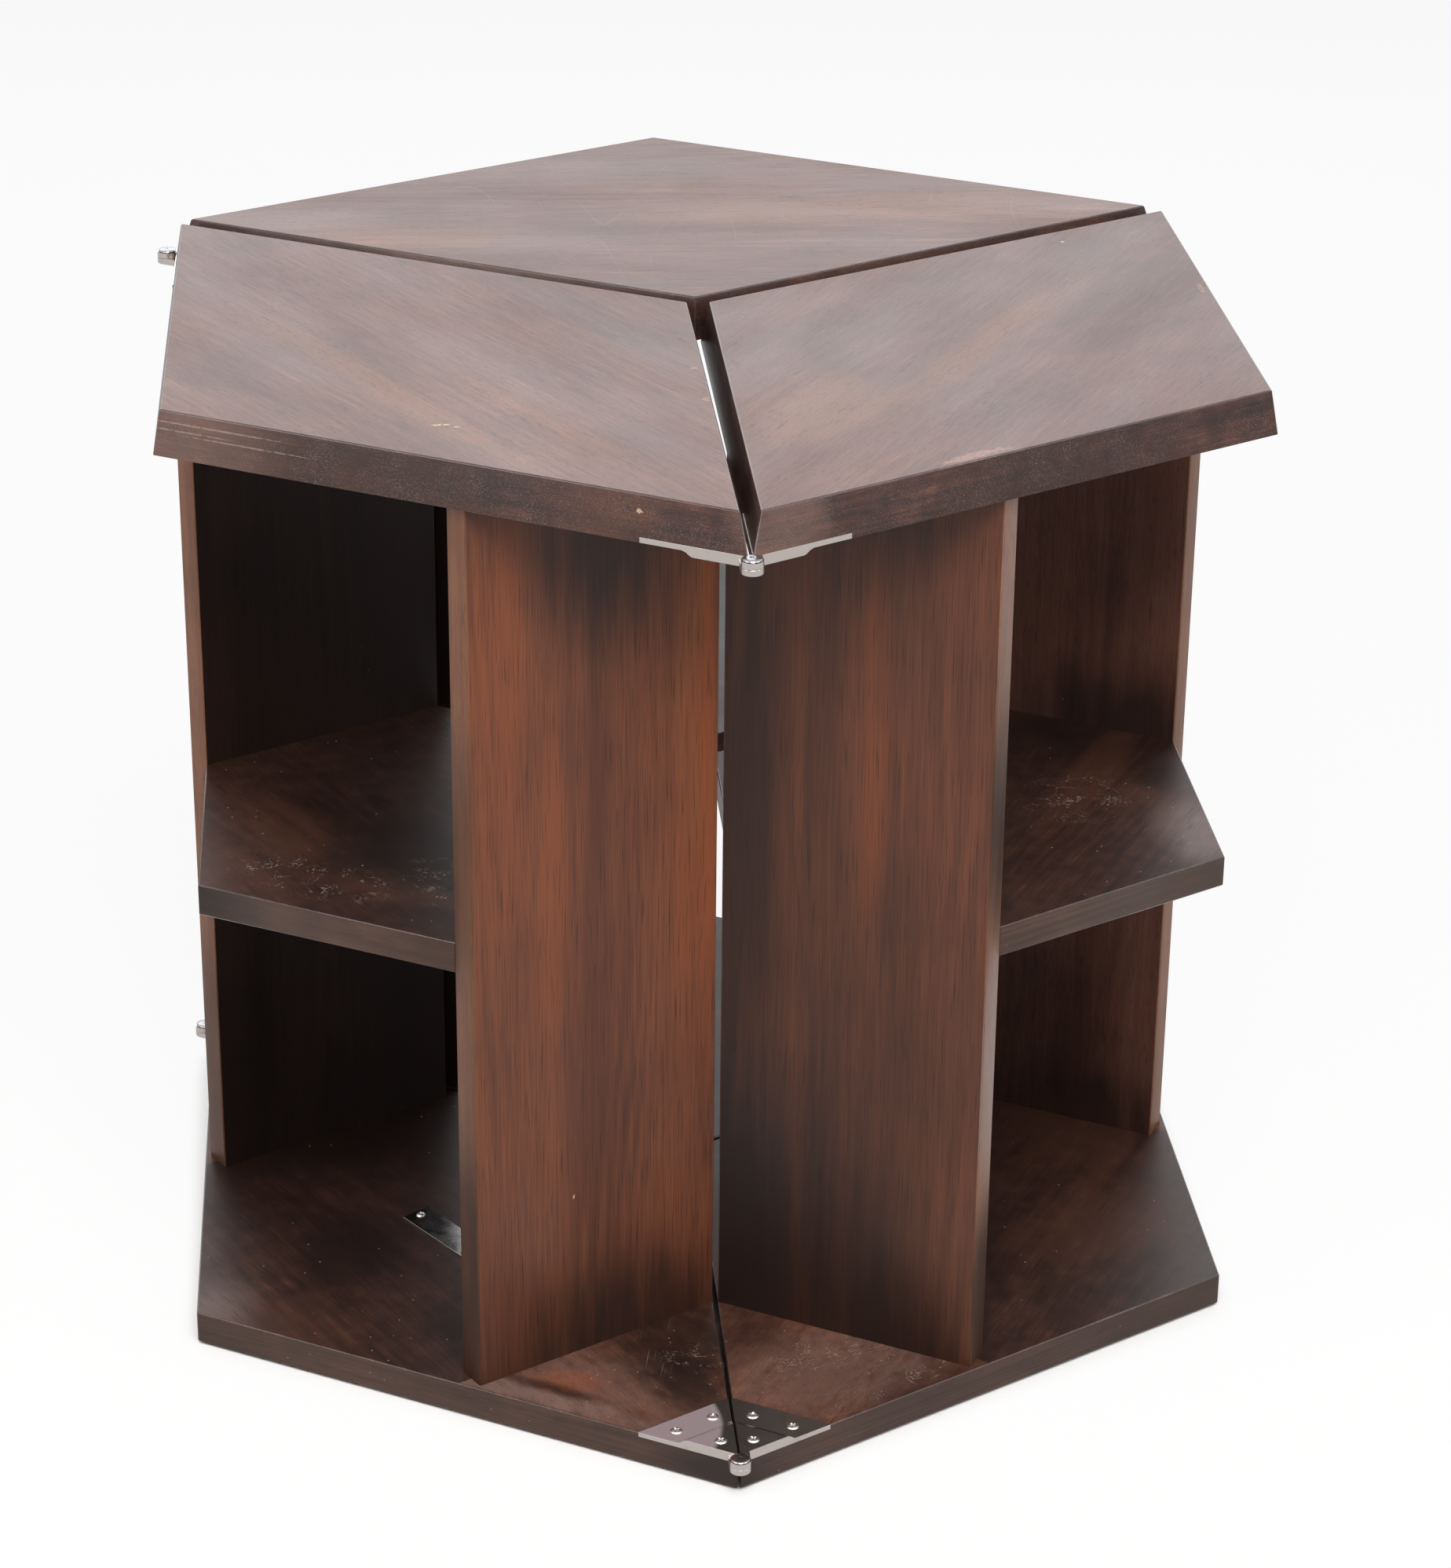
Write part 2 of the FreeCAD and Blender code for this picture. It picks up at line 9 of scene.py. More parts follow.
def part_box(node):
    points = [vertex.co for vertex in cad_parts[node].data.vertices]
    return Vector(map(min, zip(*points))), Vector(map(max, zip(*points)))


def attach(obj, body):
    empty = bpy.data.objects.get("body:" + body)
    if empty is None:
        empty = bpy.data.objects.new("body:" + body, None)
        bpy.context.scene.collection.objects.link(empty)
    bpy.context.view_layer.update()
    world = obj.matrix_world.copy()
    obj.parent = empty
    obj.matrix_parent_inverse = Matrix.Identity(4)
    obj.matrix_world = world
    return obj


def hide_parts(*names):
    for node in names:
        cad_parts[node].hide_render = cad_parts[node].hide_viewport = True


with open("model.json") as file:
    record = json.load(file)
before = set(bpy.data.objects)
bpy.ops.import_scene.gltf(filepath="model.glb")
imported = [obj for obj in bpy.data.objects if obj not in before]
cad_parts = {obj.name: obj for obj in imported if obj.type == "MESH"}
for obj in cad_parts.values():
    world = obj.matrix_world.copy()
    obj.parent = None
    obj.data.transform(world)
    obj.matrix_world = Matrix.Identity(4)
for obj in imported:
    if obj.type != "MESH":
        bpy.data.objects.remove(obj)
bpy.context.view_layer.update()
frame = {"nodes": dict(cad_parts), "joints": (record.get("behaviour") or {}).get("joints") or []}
scene = bpy.context.scene
scene.view_settings.view_transform = "Standard"
mm = 0.001

# the hinge line that each unit turns on, from the frame
hingeAxes = {joint["child"]: Vector(joint["pos_m"]) for joint in frame["joints"]}
sideLong = 355 * mm  # side of the hexagon
axisOut = 6.25 * mm  # corner of the hexagon to a hinge line
turns = {"left": 120, "right": 239.64, "back": 0}  # degrees from the drawing of one unit
# whose hinge line is at a unit's corner, and whether that corner is left or right on its drawing
corners = {"left": ("right_unit", -1), "right": ("right_unit", 1), "back": ("back_unit", -1)}


def unitMatrix(unit):
    # from one unit's own drawing (long diagonal along X, table's middle at 0, 0) to its place
    line, hand = corners[unit]
    reach = sideLong + axisOut
    corner = Vector((hand * reach * math.sqrt(3) / 2, reach / 2, 0))
    turn = Matrix.Rotation(math.radians(turns[unit]), 4, "Z")
    axis = hingeAxes[line].copy()
    axis.z = 0
    return Matrix.Translation(axis - turn @ corner) @ turn


unitPlaces = {unit: unitMatrix(unit) for unit in turns}
bodyOf = {"left": "left_unit", "right": "right_unit", "back": "back_unit"}


def colour(code):
    # sRGB hex to linear
    values = [int(code[step:step + 2], 16) / 255 for step in (1, 3, 5)]
    linear = [v / 12.92 if v <= 0.04045 else ((v + 0.055) / 1.055) ** 2.4 for v in values]
    return (*linear, 1.0)


def inMm(values):
    return tuple(value * mm for value in values)


def add(tree, kind, inputs=None, output=0, stops=(), **settings):
    # inputs: plain values or another node's socket; stops: a colour ramp's places and colours
    made = tree.nodes.new("ShaderNode" + kind)
    for key, value in settings.items():
        setattr(made, key, value)
    for key, value in (inputs or {}).items():
        if isinstance(value, bpy.types.NodeSocket):
            tree.links.new(value, made.inputs[key])
        else:
            made.inputs[key].default_value = value
    for place, code in stops[1:-1]:
        made.color_ramp.elements.new(place)
    for number, (place, code) in enumerate(stops):
        made.color_ramp.elements[number].position = place
        made.color_ramp.elements[number].color = colour(code)
    return made.outputs[output] if len(made.outputs) else None


def placed(name, data):
    thing = bpy.data.objects.new(name, data)
    scene.collection.objects.link(thing)
    return thing


def stored(name, mesh):
    data = bpy.data.meshes.new(name)
    mesh.to_mesh(data)
    mesh.free()
    return data


def newMaterial(name):
    material = bpy.data.materials.new(name)
    material.use_nodes = True
    material.node_tree.nodes.clear()
    return material, material.node_tree


view = {
    "place": Vector((-0.18173, -2.26978, 1.31954)),  # metres, in the table's frame
    "yaw": 5.815,  # degrees to the right of +Y
    "pitch": 24.456,  # degrees down
    "roll": 0.866,
    "lens": 93.853,  # mm on a 36 mm long side
    "shift": (-0.02464, -0.00421),
    "clip": (0.05, 50),  # metres
}


def makeCamera():
    data = bpy.data.cameras.new("camera")
    camera = placed("camera", data)
    yaw, pitch, roll = (math.radians(view[key]) for key in ("yaw", "pitch", "roll"))
    flat = math.cos(pitch)
    ahead = Vector((math.sin(yaw) * flat, math.cos(yaw) * flat, -math.sin(pitch)))
    level = Vector((math.cos(yaw), -math.sin(yaw), 0))
    upward = level.cross(ahead)
    across = math.cos(roll) * level + math.sin(roll) * upward
    upright = -math.sin(roll) * level + math.cos(roll) * upward
    turn = Matrix((across, upright, -ahead)).transposed().to_4x4()
    camera.matrix_world = Matrix.Translation(view["place"]) @ turn
    data.lens = view["lens"]
    data.shift_x, data.shift_y = view["shift"]
    data.clip_start, data.clip_end = view["clip"]
    scene.camera = camera


makeCamera()
print("camera ready")


studio = {
    "worldFill": "#D8D9DD",  # light that reaches the wood from all round
    "fillStrength": 0.26,
    "floorWhite": "#F4F4F4",
    "floorHalf": 12, "floorDown": 0.0005,  # metres
    "contactShade": 0.02,  # metres, how far under a board the floor stays dark
    "lamps": {
        # name: place, target, size in metres, watts, colour
        "back_softbox": ((0.3, 2.6, 1.9), (0.0, 0.0, 0.55), (3.6, 1.6), 24, "#F6F9FF"),
        "front_softbox": ((0.1, -1.9, 2.6), (0.0, 0.0, 0.3), (1.4, 1.4), 78, "#FFFBF7"),
        "left_softbox": ((-1.15, -0.75, 1.05), (-0.2, -0.1, 0.3), (0.7, 0.7), 7, "#FFFAF4"),
        "right_softbox": ((2.4, -1.6, 1.8), (0.0, 0.0, 0.3), (1.4, 1.4), 22, "#FFFFFF"),
    },
}


def makeLamps():
    for name, (place, target, size, watts, code) in studio["lamps"].items():
        data = bpy.data.lights.new(name, "AREA")
        data.shape = "RECTANGLE"
        data.size, data.size_y = size
        data.energy = watts
        data.color = colour(code)[:3]
        lamp = placed(name, data)
        lamp.location = place
        lamp.rotation_euler = (Vector(target) - Vector(place)).to_track_quat("-Z", "Y").to_euler()


def whiteToEye(tree):
    # 1 for what the camera sees straight or through a mirror, 0 for light on the wood
    path = add(tree, "LightPath").node.outputs
    seen = {0: path["Is Camera Ray"], 1: path["Is Glossy Ray"]}
    seen = add(tree, "Math", seen, operation="MAXIMUM")
    return add(tree, "Math", {0: seen, 1: path["Is Transmission Ray"]}, operation="MAXIMUM")


def makeWorld():
    world = bpy.data.worlds.new("studio")
    scene.world = world
    world.use_nodes = True
    tree = world.node_tree
    tree.nodes.clear()
    fill = add(tree, "Background", {0: colour(studio["worldFill"]), 1: studio["fillStrength"]})
    white = add(tree, "Background", {0: (1, 1, 1, 1), 1: 1.0})
    both = add(tree, "MixShader", {0: whiteToEye(tree), 1: fill, 2: white})
    add(tree, "OutputWorld", {"Surface": both})


def makeFloor():
    mesh = bmesh.new()
    bmesh.ops.create_grid(mesh, x_segments=1, y_segments=1, size=studio["floorHalf"])
    floor = placed("floor", stored("floor", mesh))
    floor.location.z = -studio["floorDown"]
    material, tree = newMaterial("paleFloor")
    matt = add(tree, "BsdfDiffuse", {"Color": colour(studio["floorWhite"])})
    white = add(tree, "Emission", {0: (1, 1, 1, 1), 1: 1.0})
    # white to the eye, but the slits under the boards stay dark
    openness = add(tree, "AmbientOcclusion", {"Distance": studio["contactShade"]}, "AO", samples=8)
    clear = add(tree, "MapRange", {0: openness, 1: 0.25, 2: 0.85, 4: 0.9})
    share = add(tree, "Math", {0: whiteToEye(tree), 1: clear}, operation="MULTIPLY")
    both = add(tree, "MixShader", {0: share, 1: matt, 2: white})
    add(tree, "OutputMaterial", {"Surface": both})
    floor.data.materials.append(material)


makeLamps()
makeWorld()
makeFloor()
print("studio ready")


# marks on the boards: kind, centre in mm in the table's frame, size in mm, turn in degrees
marks = {
    "walnutTopVeneerLeft": [
        ("warm", (-175, -145, 586), (250, 17, 20), -62),
        ("warm", (-96, -190, 586), (110, 12, 20), -58),
        ("cloud", (-262, -104, 586), (110, 40, 20), -60),
        ("cloud", (-60, -20, 586), (170, 34, 20), -60),
        ("cloud", (-40, -245, 586), (60, 30, 20), -60),
        ("chip", (-147, -202, 586), (7, 2.4, 4), 8),
        ("chip", (-139, -206, 586), (3, 1.4, 4), 8),
        ("worn", (-5, -116, 586), (5, 2.4, 4), 40),
        ("worn", (-2, -168, 586), (6, 4.5, 4), 60),
        ("dent", (-286, 125, 586), (1.6, 2.2, 4), 0),
    ],
    "walnutTopVeneerRight": [
        ("cloud", (120, -56, 586), (46, 20, 20), 10),
        ("cloud", (150, 43, 586), (40, 14, 20), 0),
        ("cloud", (220, -81, 586), (60, 24, 20), 30),
        ("cloud", (111, -155, 586), (50, 20, 20), 0),
        ("cloud", (71, -95, 586), (20, 60, 20), 20),
        ("cloud", (260, -20, 586), (120, 70, 20), 60),
        ("warm", (178, -60, 586), (170, 24, 20), 58),
        ("warm", (60, -190, 586), (90, 50, 20), 50),
        ("worn", (132, -265, 586), (36, 6, 5), 30),
        ("worn", (306, 14, 586), (3, 13, 5), 0),
        ("chip", (239, 110, 586), (2.2, 2.2, 4), 0),
        ("dent", (34, -214, 586), (13, 1.5, 4), 62),
        ("dent", (69, -191, 586), (9, 1.3, 4), 58),
        ("dent", (19, -111, 586), (3, 12, 4), 10),
        ("dent", (27, -126, 586), (2.4, 5, 4), 30),
        ("dent", (159, -143, 586), (5, 1.3, 4), 0),
        ("dent", (176, -115, 586), (6, 1.3, 4), -10),
        ("dent", (246, 6, 586), (7, 1.6, 4), 0),
    ],
    "walnutTopVeneerBack": [
        ("cloud", (10, 60, 586), (250, 46, 20), 0),
        ("bloom", (-240, 172, 586), (90, 60, 20), 10),
        ("cloud", (-150, 215, 586), (160, 34, 20), 4),
        ("warm", (110, 190, 586), (210, 44, 20), 3),
        ("warm", (-150, 140, 586), (120, 34, 20), -2),
    ],
    "walnutTopLipping": [
        ("chip", (-48, -314, 577), (3.4, 2.4, 3), 0),
        ("dent", (-47, -315, 575.5), (2.2, 2, 1.6), 0),
        ("veil", (-283, -180, 573), (80, 60, 40), -30),
        ("veil", (24, -335, 573), (36, 40, 40), 30),
        ("ember", (-62, -306, 572), (40, 24, 30), -30),
        ("cloud", (-128, -268, 573), (70, 50, 30), -30),
        ("shade", (150, -264, 573), (130, 60, 40), 30),
        ("shade", (190, -240, 573), (110, 60, 40), 30),
        ("shade", (157, -261, 573), (80, 50, 40), 30),
        ("shade", (-200, -230, 573), (110, 60, 40), -30),
        ("bloom", (-150, 88, 582), (210, 30, 30), -30),
        ("ember", (150, 88, 582), (210, 30, 30), 30),
        ("score", (-270, -187, 580), (62, 8, 0.7), -30),
        ("score", (-285, -178, 576), (40, 8, 0.6), -30),
        ("score", (-250, -199, 574), (50, 8, 0.5), -30),
    ],
    "walnutUprightVeneerLeft": [
        # toner under the top board and low by the slit is partly painted shade
        ("toner", (-60, -220, 530), (66, 60, 92), 0),
        ("toner", (-85, -233, 586), (130, 90, 58), 0),
        ("toner", (-45, -212, 20), (110, 80, 84), 0),
        ("shade", (-62, -221, 250), (34, 40, 300), 0),
        ("glow", (-121, -254, 440), (26, 30, 170), 0),
        ("dusk", (-100, -242, 10), (100, 80, 130), 0),
        # painted light by the slit, where the right upright shades this face
        ("warm", (-6, -188, 420), (22, 30, 120), 0),
        ("glow", (-1, -185, 350), (9, 9, 240), 0),
        ("glow", (-1, -185, 380), (6, 6, 200), 0),
        ("glow", (-4, -187, 330), (26, 30, 210), 0),
        ("glow", (-92, -238, 330), (14, 20, 130), 0),
        ("glow", (-4, -187, 440), (24, 24, 90), 0),
        ("chip", (-80, -231, 125), (1.4, 1.4, 3.4), 0),
        ("chip", (-100, -243, 165), (1, 1, 2.6), 0),
    ],
    "walnutUprightVeneerRight": [
        # toner under the top board, beside the slit and low down is partly painted shade
        ("toner", (70, -218, 600), (120, 90, 130), 0),
        ("toner", (14, -185, 330), (52, 50, 330), 0),
        ("toner", (30, -195, 60), (96, 80, 190), 0),
        ("toner", (16, -187, 80), (46, 44, 130), 0),
        ("shade", (95, -232, 350), (30, 30, 150), 0),
        ("toner", (104, -236, 20), (70, 60, 84), 0),
        ("shade", (92, -230, 170), (60, 60, 170), 0),
        ("shade", (60, -212, 330), (24, 30, 260), 0),
        ("dusk", (50, -206, 10), (140, 100, 220), 0),
        ("glow", (86, -228, 400), (14, 20, 150), 0),
        ("dusk", (92, -230, 60), (60, 60, 120), 0),
    ],
    "walnutUprightVeneer": [
        # painted shade under the top board
        ("toner", (-144, 101, 586), (400, 400, 60), 0),
    ],
    "walnutUprightLipping": [
        # painted shade: nearly black first, then darker patches; the pale marks on the right front
        # rim are painted sheen
        ("night", (-144, 101, 300), (40, 40, 900), 0),
        ("toner", (-142, -254, 20), (60, 60, 240), 0),
        ("shade", (-142, -254, 330), (60, 60, 130), 0),
        ("shade", (-294, 9, 60), (60, 60, 200), 0),
        ("toner", (157, -250, 364), (40, 40, 100), 0),
        ("toner", (157, -250, 60), (40, 40, 100), 0),
        ("bloom", (157, -250, 520), (40, 40, 110), 0),
        ("bloom", (157, -250, 190), (40, 40, 100), 0),
        ("bloom", (157, -250, 200), (30, 30, 80), 0),
        ("bloom", (157, -250, 250), (30, 30, 60), 0),
    ],
    "walnutInsideLit": [
        ("toner", (278, 10, 300), (120, 90, 60), 0),
        ("toner", (260, 30, 21), (140, 90, 60), 0),
    ],
    "walnutBoardLipping": [
        ("toner", (-304, -175, 290), (70, 60, 30), -30),
        ("toner", (-10, -350, 10), (60, 40, 30), 0),
        ("shade", (233, -220, 7), (100, 60, 30), 30),
    ],
    "walnutBaseVeneerLeft": [
        ("veil", (-60, -268, 21), (96, 44, 8), -30),
        ("bloom", (-150, -250, 21), (200, 14, 8), -30),
        ("toner", (-24, -224, 21), (60, 78, 8), 0),
        ("toner", (-18, -270, 21), (30, 50, 8), 12),
        ("toner", (-92, -270, 21), (40, 8, 8), -30),
        ("glow", (-84, -262, 21), (30, 16, 8), -20),
        ("scuff", (-12, -244, 21), (24, 24, 8), 0),
    ],
    "walnutBaseVeneer": [
        ("veil", (64, -262, 21), (110, 60, 8), 30),
        ("cloud", (30, -232, 21), (36, 18, 8), -20),
        ("scuff", (60, -244, 21), (44, 22, 8), 30),
        ("scuff", (120, -270, 21), (60, 12, 8), 30),
    ],
    "walnutInnerShaded": [
        ("scuff", (-228, -158, 300), (74, 28, 8), -30),
        ("scuff", (-226, -156, 300), (50, 22, 8), -30),
        ("scuff", (-152, -170, 300), (26, 44, 8), 10),
        ("scuff", (230, -80, 300), (46, 40, 8), 30),
        ("ember", (246, -40, 300), (130, 18, 8), 62),
        ("ember", (262, -60, 300), (60, 50, 8), 30),
        ("ember", (-250, -90, 300), (70, 40, 8), -60),
        ("ember", (-160, -190, 300), (90, 16, 8), -30),
        ("ember", (-262, -150, 300), (60, 40, 8), -60),
        ("ember", (239, 0, 21), (120, 90, 8), 0),
        ("ember", (250, -110, 21), (90, 60, 8), 30),
        ("bloom", (292, -130, 300), (34, 60, 8), 0),
        ("toner", (284, -52, 300), (30, 30, 8), 0),
        ("bloom", (-294, -168, 21), (40, 50, 8), 0),
        ("toner", (-218, 42, 21), (150, 90, 8), 0),
        ("ember", (-256, -194, 21), (70, 50, 8), -30),
        ("toner", (-206, -108, 21), (50, 60, 8), 0),
        ("toner", (-170, -130, 300), (60, 60, 8), 0),
    ],
}
markKinds = {
    # colour, strength, where its rim begins and is full, how broken up, whether along the grain
    # toner: dark toner in blotches, and painted shade under the tops, low on the uprights and rims,
    # beside the slits and in the compartments
    "toner": ("#1A100D", 0.8, 0.0, 0.75, 0.35, True),
    # night: painted shade, nearly black
    "night": ("#0E0A09", 0.9, 0.0, 0.5, 0.2, True),
    # dusk: painted shade, darker towards the bottom of the uprights
    "dusk": ("#1E130F", 0.5, 0.0, 0.9, 0.1, True),
    # shade: painted shade in soft patches
    "shade": ("#2B1913", 0.42, 0.0, 0.8, 0.6, True),
    "cloud": ("#241B1E", 0.2, 0.0, 0.9, 0.7, True),
    "warm": ("#A3714F", 0.24, 0.0, 0.8, 0.6, True),
    # glow: painted light, warm orange pools
    "glow": ("#8C4A28", 0.34, 0.0, 0.8, 0.6, True),
    "ember": ("#55372B", 0.4, 0.0, 0.8, 0.7, True),
    # painted sheen, muted mauve, on rims and the bases' corners
    "veil": ("#7C625A", 0.4, 0.0, 0.7, 0.5, True),
    # painted sheen, a pale lilac reflection on rims, tops and shelf corners
    "bloom": ("#8C7973", 0.42, 0.0, 0.8, 0.4, True),
    "worn": ("#AA7A6A", 0.5, 0.3, 0.5, 0.6, False),
    "chip": ("#C9A98F", 0.8, 0.3, 0.44, 0.8, False),
    "dent": ("#2A1A18", 0.5, 0.25, 0.45, 0.9, False),
    "score": ("#A08C88", 0.42, 0.1, 0.5, 0.9, False),
    "scuff": ("#A79C96", 0.68, 0.0, 0.6, 0.0, False),
}
# noises drawn as thin lines, along which they keep one value, and how wide the lines are
thinLines = {"wisps": 0.01, "arcs": 0.016}


def walnut(name, look):
    # American walnut, toned and lacquered: straight soft grain and open pores under a satin film
    material, tree = newMaterial(name)
    grain = add(tree, "UVMap", uv_map="grain")
    spot = add(tree, "TexCoord", output="Object")

    rough, patchy = look["rough"], look["patchy"]
    # how far each of these darkens or lightens the tone
    toned = ("bands", "streaks", "hair", "mottle")
    swing = {key: (0, 1, -look[key] / 2, look[key] / 2) for key in toned}

    # noises that follow the grain: mm along and across it, detail, turn in degrees; the last
    # numbers say which of a noise's values become 0 and 1, or become the two numbers after them
    fibres = {
        "drift": (look["driftLong"], look["driftWide"], 1.5, 0, 0, 1, 0, look["wander"]),
        "ringFade": (260, 50, 1, 0, 0.4, 0.65, 0, look["figure"]),
        "bands": (look["bandLong"], look["bandWide"], 3, 0, *swing["bands"]),
        "streaks": (110, 3.2, 2, 0, *swing["streaks"]),
        "hair": (look["hairLong"], look["hairWide"], 2, 0, *swing["hair"]),
        "fray": (look["frayLong"], look["frayWide"], 3, 0),
        "pores": (look["poreLong"], look["poreWide"], 1, 0, 0.58, 0.7, 0, look["pores"]),
        "pits": (look["poreLong"] * 2.2, look["poreWide"] * 0.9, 1, 1, 0.61, 0.68),
        "crowd": (120, 12, 2, 0, 0.46, 0.64, 0, look["pits"]),
        "rough": (180, 60, 3, 0, 0.3, 0.7, rough - patchy, rough + patchy),
        "peel": (2.5, 2.5, 2, 0, 0, 1, 0, look["peel"]),
    }
    # the same for noises that lie any way: mm, detail, distortion
    clouds = {
        "mottle": (look["mottleWide"], 3, 0, *swing["mottle"]),
        "toner": (110, 3, 0, 0.42, 0.72, 0, look["cloudy"]),
        "crumbs": (3.5, 4, 0),
        "wisps": (14, 4, 0.8),
        "wispFade": (9, 3, 0, 0.5, 0.6),
        "grains": (1.5, 1, 0, 0.56, 0.66),
        "grainFade": (15, 3, 0, 0.53, 0.66, 0, 0.7),
    }
    # fine pale marks all over: one noise, and the other that fades it in places
    faded = []
    if look["grit"]:
        clouds["grit"] = (0.45, 1, 0, 0.56, 0.8)
        clouds["gritFade"] = (20, 3, 0, 0.35, 0.65, 0.2 * look["grit"], look["grit"])
        faded.append(("grit", "gritFade"))
    for turn, long, wide, limit, show in look["scratches"]:
        line, fade = f"scratch{turn}", f"scratchFade{turn}"
        fibres[line] = (long, wide, 0, turn, limit, limit + 0.05)
        fibres[fade] = (90, 60, 1, turn + 10, 0.5, 0.6, 0, show)
        faded.append((line, fade))
    if look["arcs"]:
        fibres["arcs"] = (420, 120, 0.5, look["arcTurn"], 0, 1, 0, 9)
        fibres["arcFade"] = (110, 60, 1, 30, 0.5, 0.58, 0, look["arcs"])
        faded.append(("arcs", "arcFade"))

    patterns = {key: (spot, 1000 / size, *rest) for key, (size, *rest) in clouds.items()}
    for key, (along, across, detail, turn, *fit) in fibres.items():
        turned = grain
        if turn:
            turned = add(tree, "Mapping", {0: grain, "Rotation": (0, 0, math.radians(turn))})
        spread = add(tree, "Mapping", {0: turned, "Scale": (1000 / along, 1000 / across, 1)})
        patterns[key] = (spread, 1.0, detail, 0, *fit)
    noise = {}
    for key, (place, scale, detail, distortion, *fit) in patterns.items():
        inputs = {"Vector": place, "Scale": scale, "Detail": detail, "Distortion": distortion}
        noise[key] = add(tree, "TexNoise", inputs, "Fac")
        if fit:
            noise[key] = add(tree, "MapRange", {0: noise[key], **dict(zip((1, 2, 3, 4), fit))})
        if key in thinLines:
            crest = add(tree, "Math", {0: noise[key], 1: 0.5}, operation="PINGPONG")
            noise[key] = add(tree, "MapRange", {0: crest, 1: 0.5 - thinLines[key], 2: 0.5})

    # growth rings cut along the board: their lines wander, close into tall ovals and fade out
    across = add(tree, "SeparateXYZ", {0: grain}, 1)
    phase = {0: across, 1: 1000 / look["ringWide"], 2: noise["drift"]}
    phase = add(tree, "Math", phase, operation="MULTIPLY_ADD")
    phase = add(tree, "Math", {0: phase, 1: 2 * math.pi}, operation="MULTIPLY")
    ring = add(tree, "Math", {0: phase}, operation="SINE")
    tone = add(tree, "Math", {0: ring, 1: noise["ringFade"], 2: 0.5}, operation="MULTIPLY_ADD")
    for key in swing:
        tone = add(tree, "Math", {0: tone, 1: noise[key]}, operation="ADD")
    shade = add(tree, "ValToRGB", {"Fac": tone}, "Color", look["stops"])

    # toner sprayed unevenly, a hand's breadth at a time
    shade = {0: noise["toner"], 6: shade, 7: colour(look["stain"])}
    shade = add(tree, "Mix", shade, 2, data_type="RGBA")

    # scuffs are wisps and loose grains inside their mark, the other marks are patches of colour,
    # some of them painted light, shade and sheen
    wisps = add(tree, "Math", {0: noise["wisps"], 1: noise["wispFade"]}, operation="MULTIPLY")
    grains = add(tree, "Math", {0: noise["grains"], 1: noise["grainFade"]}, operation="MULTIPLY")
    wisps = add(tree, "Math", {0: wisps, 1: grains}, operation="MAXIMUM")
    pale = 0.0
    for kind, centre, size, turn in marks.get(name, []):
        code, strength, begin, full, broken, alongGrain = markKinds[kind]
        near = {0: spot, "Location": inMm(centre), "Scale": inMm(size)}
        near["Rotation"] = (0, 0, math.radians(turn))
        near = add(tree, "Mapping", near, vector_type="TEXTURE")
        blob = add(tree, "TexGradient", {0: near}, "Fac", gradient_type="SPHERICAL")
        fray = noise["fray" if alongGrain else "crumbs"]
        fray = add(tree, "MapRange", {0: fray, 1: 0.3, 2: 0.7, 3: 1 - broken, 4: 1 + broken})
        ragged = add(tree, "Math", {0: blob, 1: fray}, operation="MULTIPLY")
        inputs = {0: ragged, 1: begin, 2: full, 4: strength}
        share = add(tree, "MapRange", inputs, interpolation_type="SMOOTHSTEP")
        if kind == "scuff":
            scuff = add(tree, "Math", {0: share, 1: wisps}, operation="MULTIPLY")
            pale = add(tree, "Math", {0: pale, 1: scuff}, operation="MAXIMUM")
        else:
            shade = add(tree, "Mix", {0: share, 6: shade, 7: colour(code)}, 2, data_type="RGBA")

    # open pores: short dark dashes along the grain, drawn about twice as wide as real ones to show
    pits = add(tree, "Math", {0: noise["pits"], 1: noise["crowd"]}, operation="MULTIPLY")
    pores = add(tree, "Math", {0: noise["pores"], 1: pits}, operation="MAXIMUM")
    shade = add(tree, "Mix", {0: pores, 6: shade, 7: colour(look["pore"])}, 2, data_type="RGBA")

    # dust nibs in the lacquer, grit, fine scratches and the long arcs that a cloth leaves
    dust = add(tree, "TexVoronoi", {"Vector": grain, "Scale": 1000 / look["speckGap"]}, "Distance")
    chance = add(tree, "SeparateColor", {0: dust.node.outputs["Color"]})
    chosen = add(tree, "Math", {0: chance, 1: 1 - look["specks"]}, operation="GREATER_THAN")
    nib = look["speckWide"] / look["speckGap"]
    speck = add(tree, "MapRange", {0: dust, 1: nib / 2, 2: nib, 3: 1, 4: 0})
    speck = add(tree, "Math", {0: speck, 1: chosen}, operation="MULTIPLY")
    shown = add(tree, "Math", {0: speck, 1: look["speckShow"]}, operation="MULTIPLY")
    pale = add(tree, "Math", {0: pale, 1: shown}, operation="MAXIMUM")
    for line, fade in faded:
        shown = add(tree, "Math", {0: noise[line], 1: noise[fade]}, operation="MULTIPLY")
        pale = add(tree, "Math", {0: pale, 1: shown}, operation="MAXIMUM")
    shade = add(tree, "Mix", {0: pale, 6: shade, 7: colour(look["dust"])}, 2, data_type="RGBA")

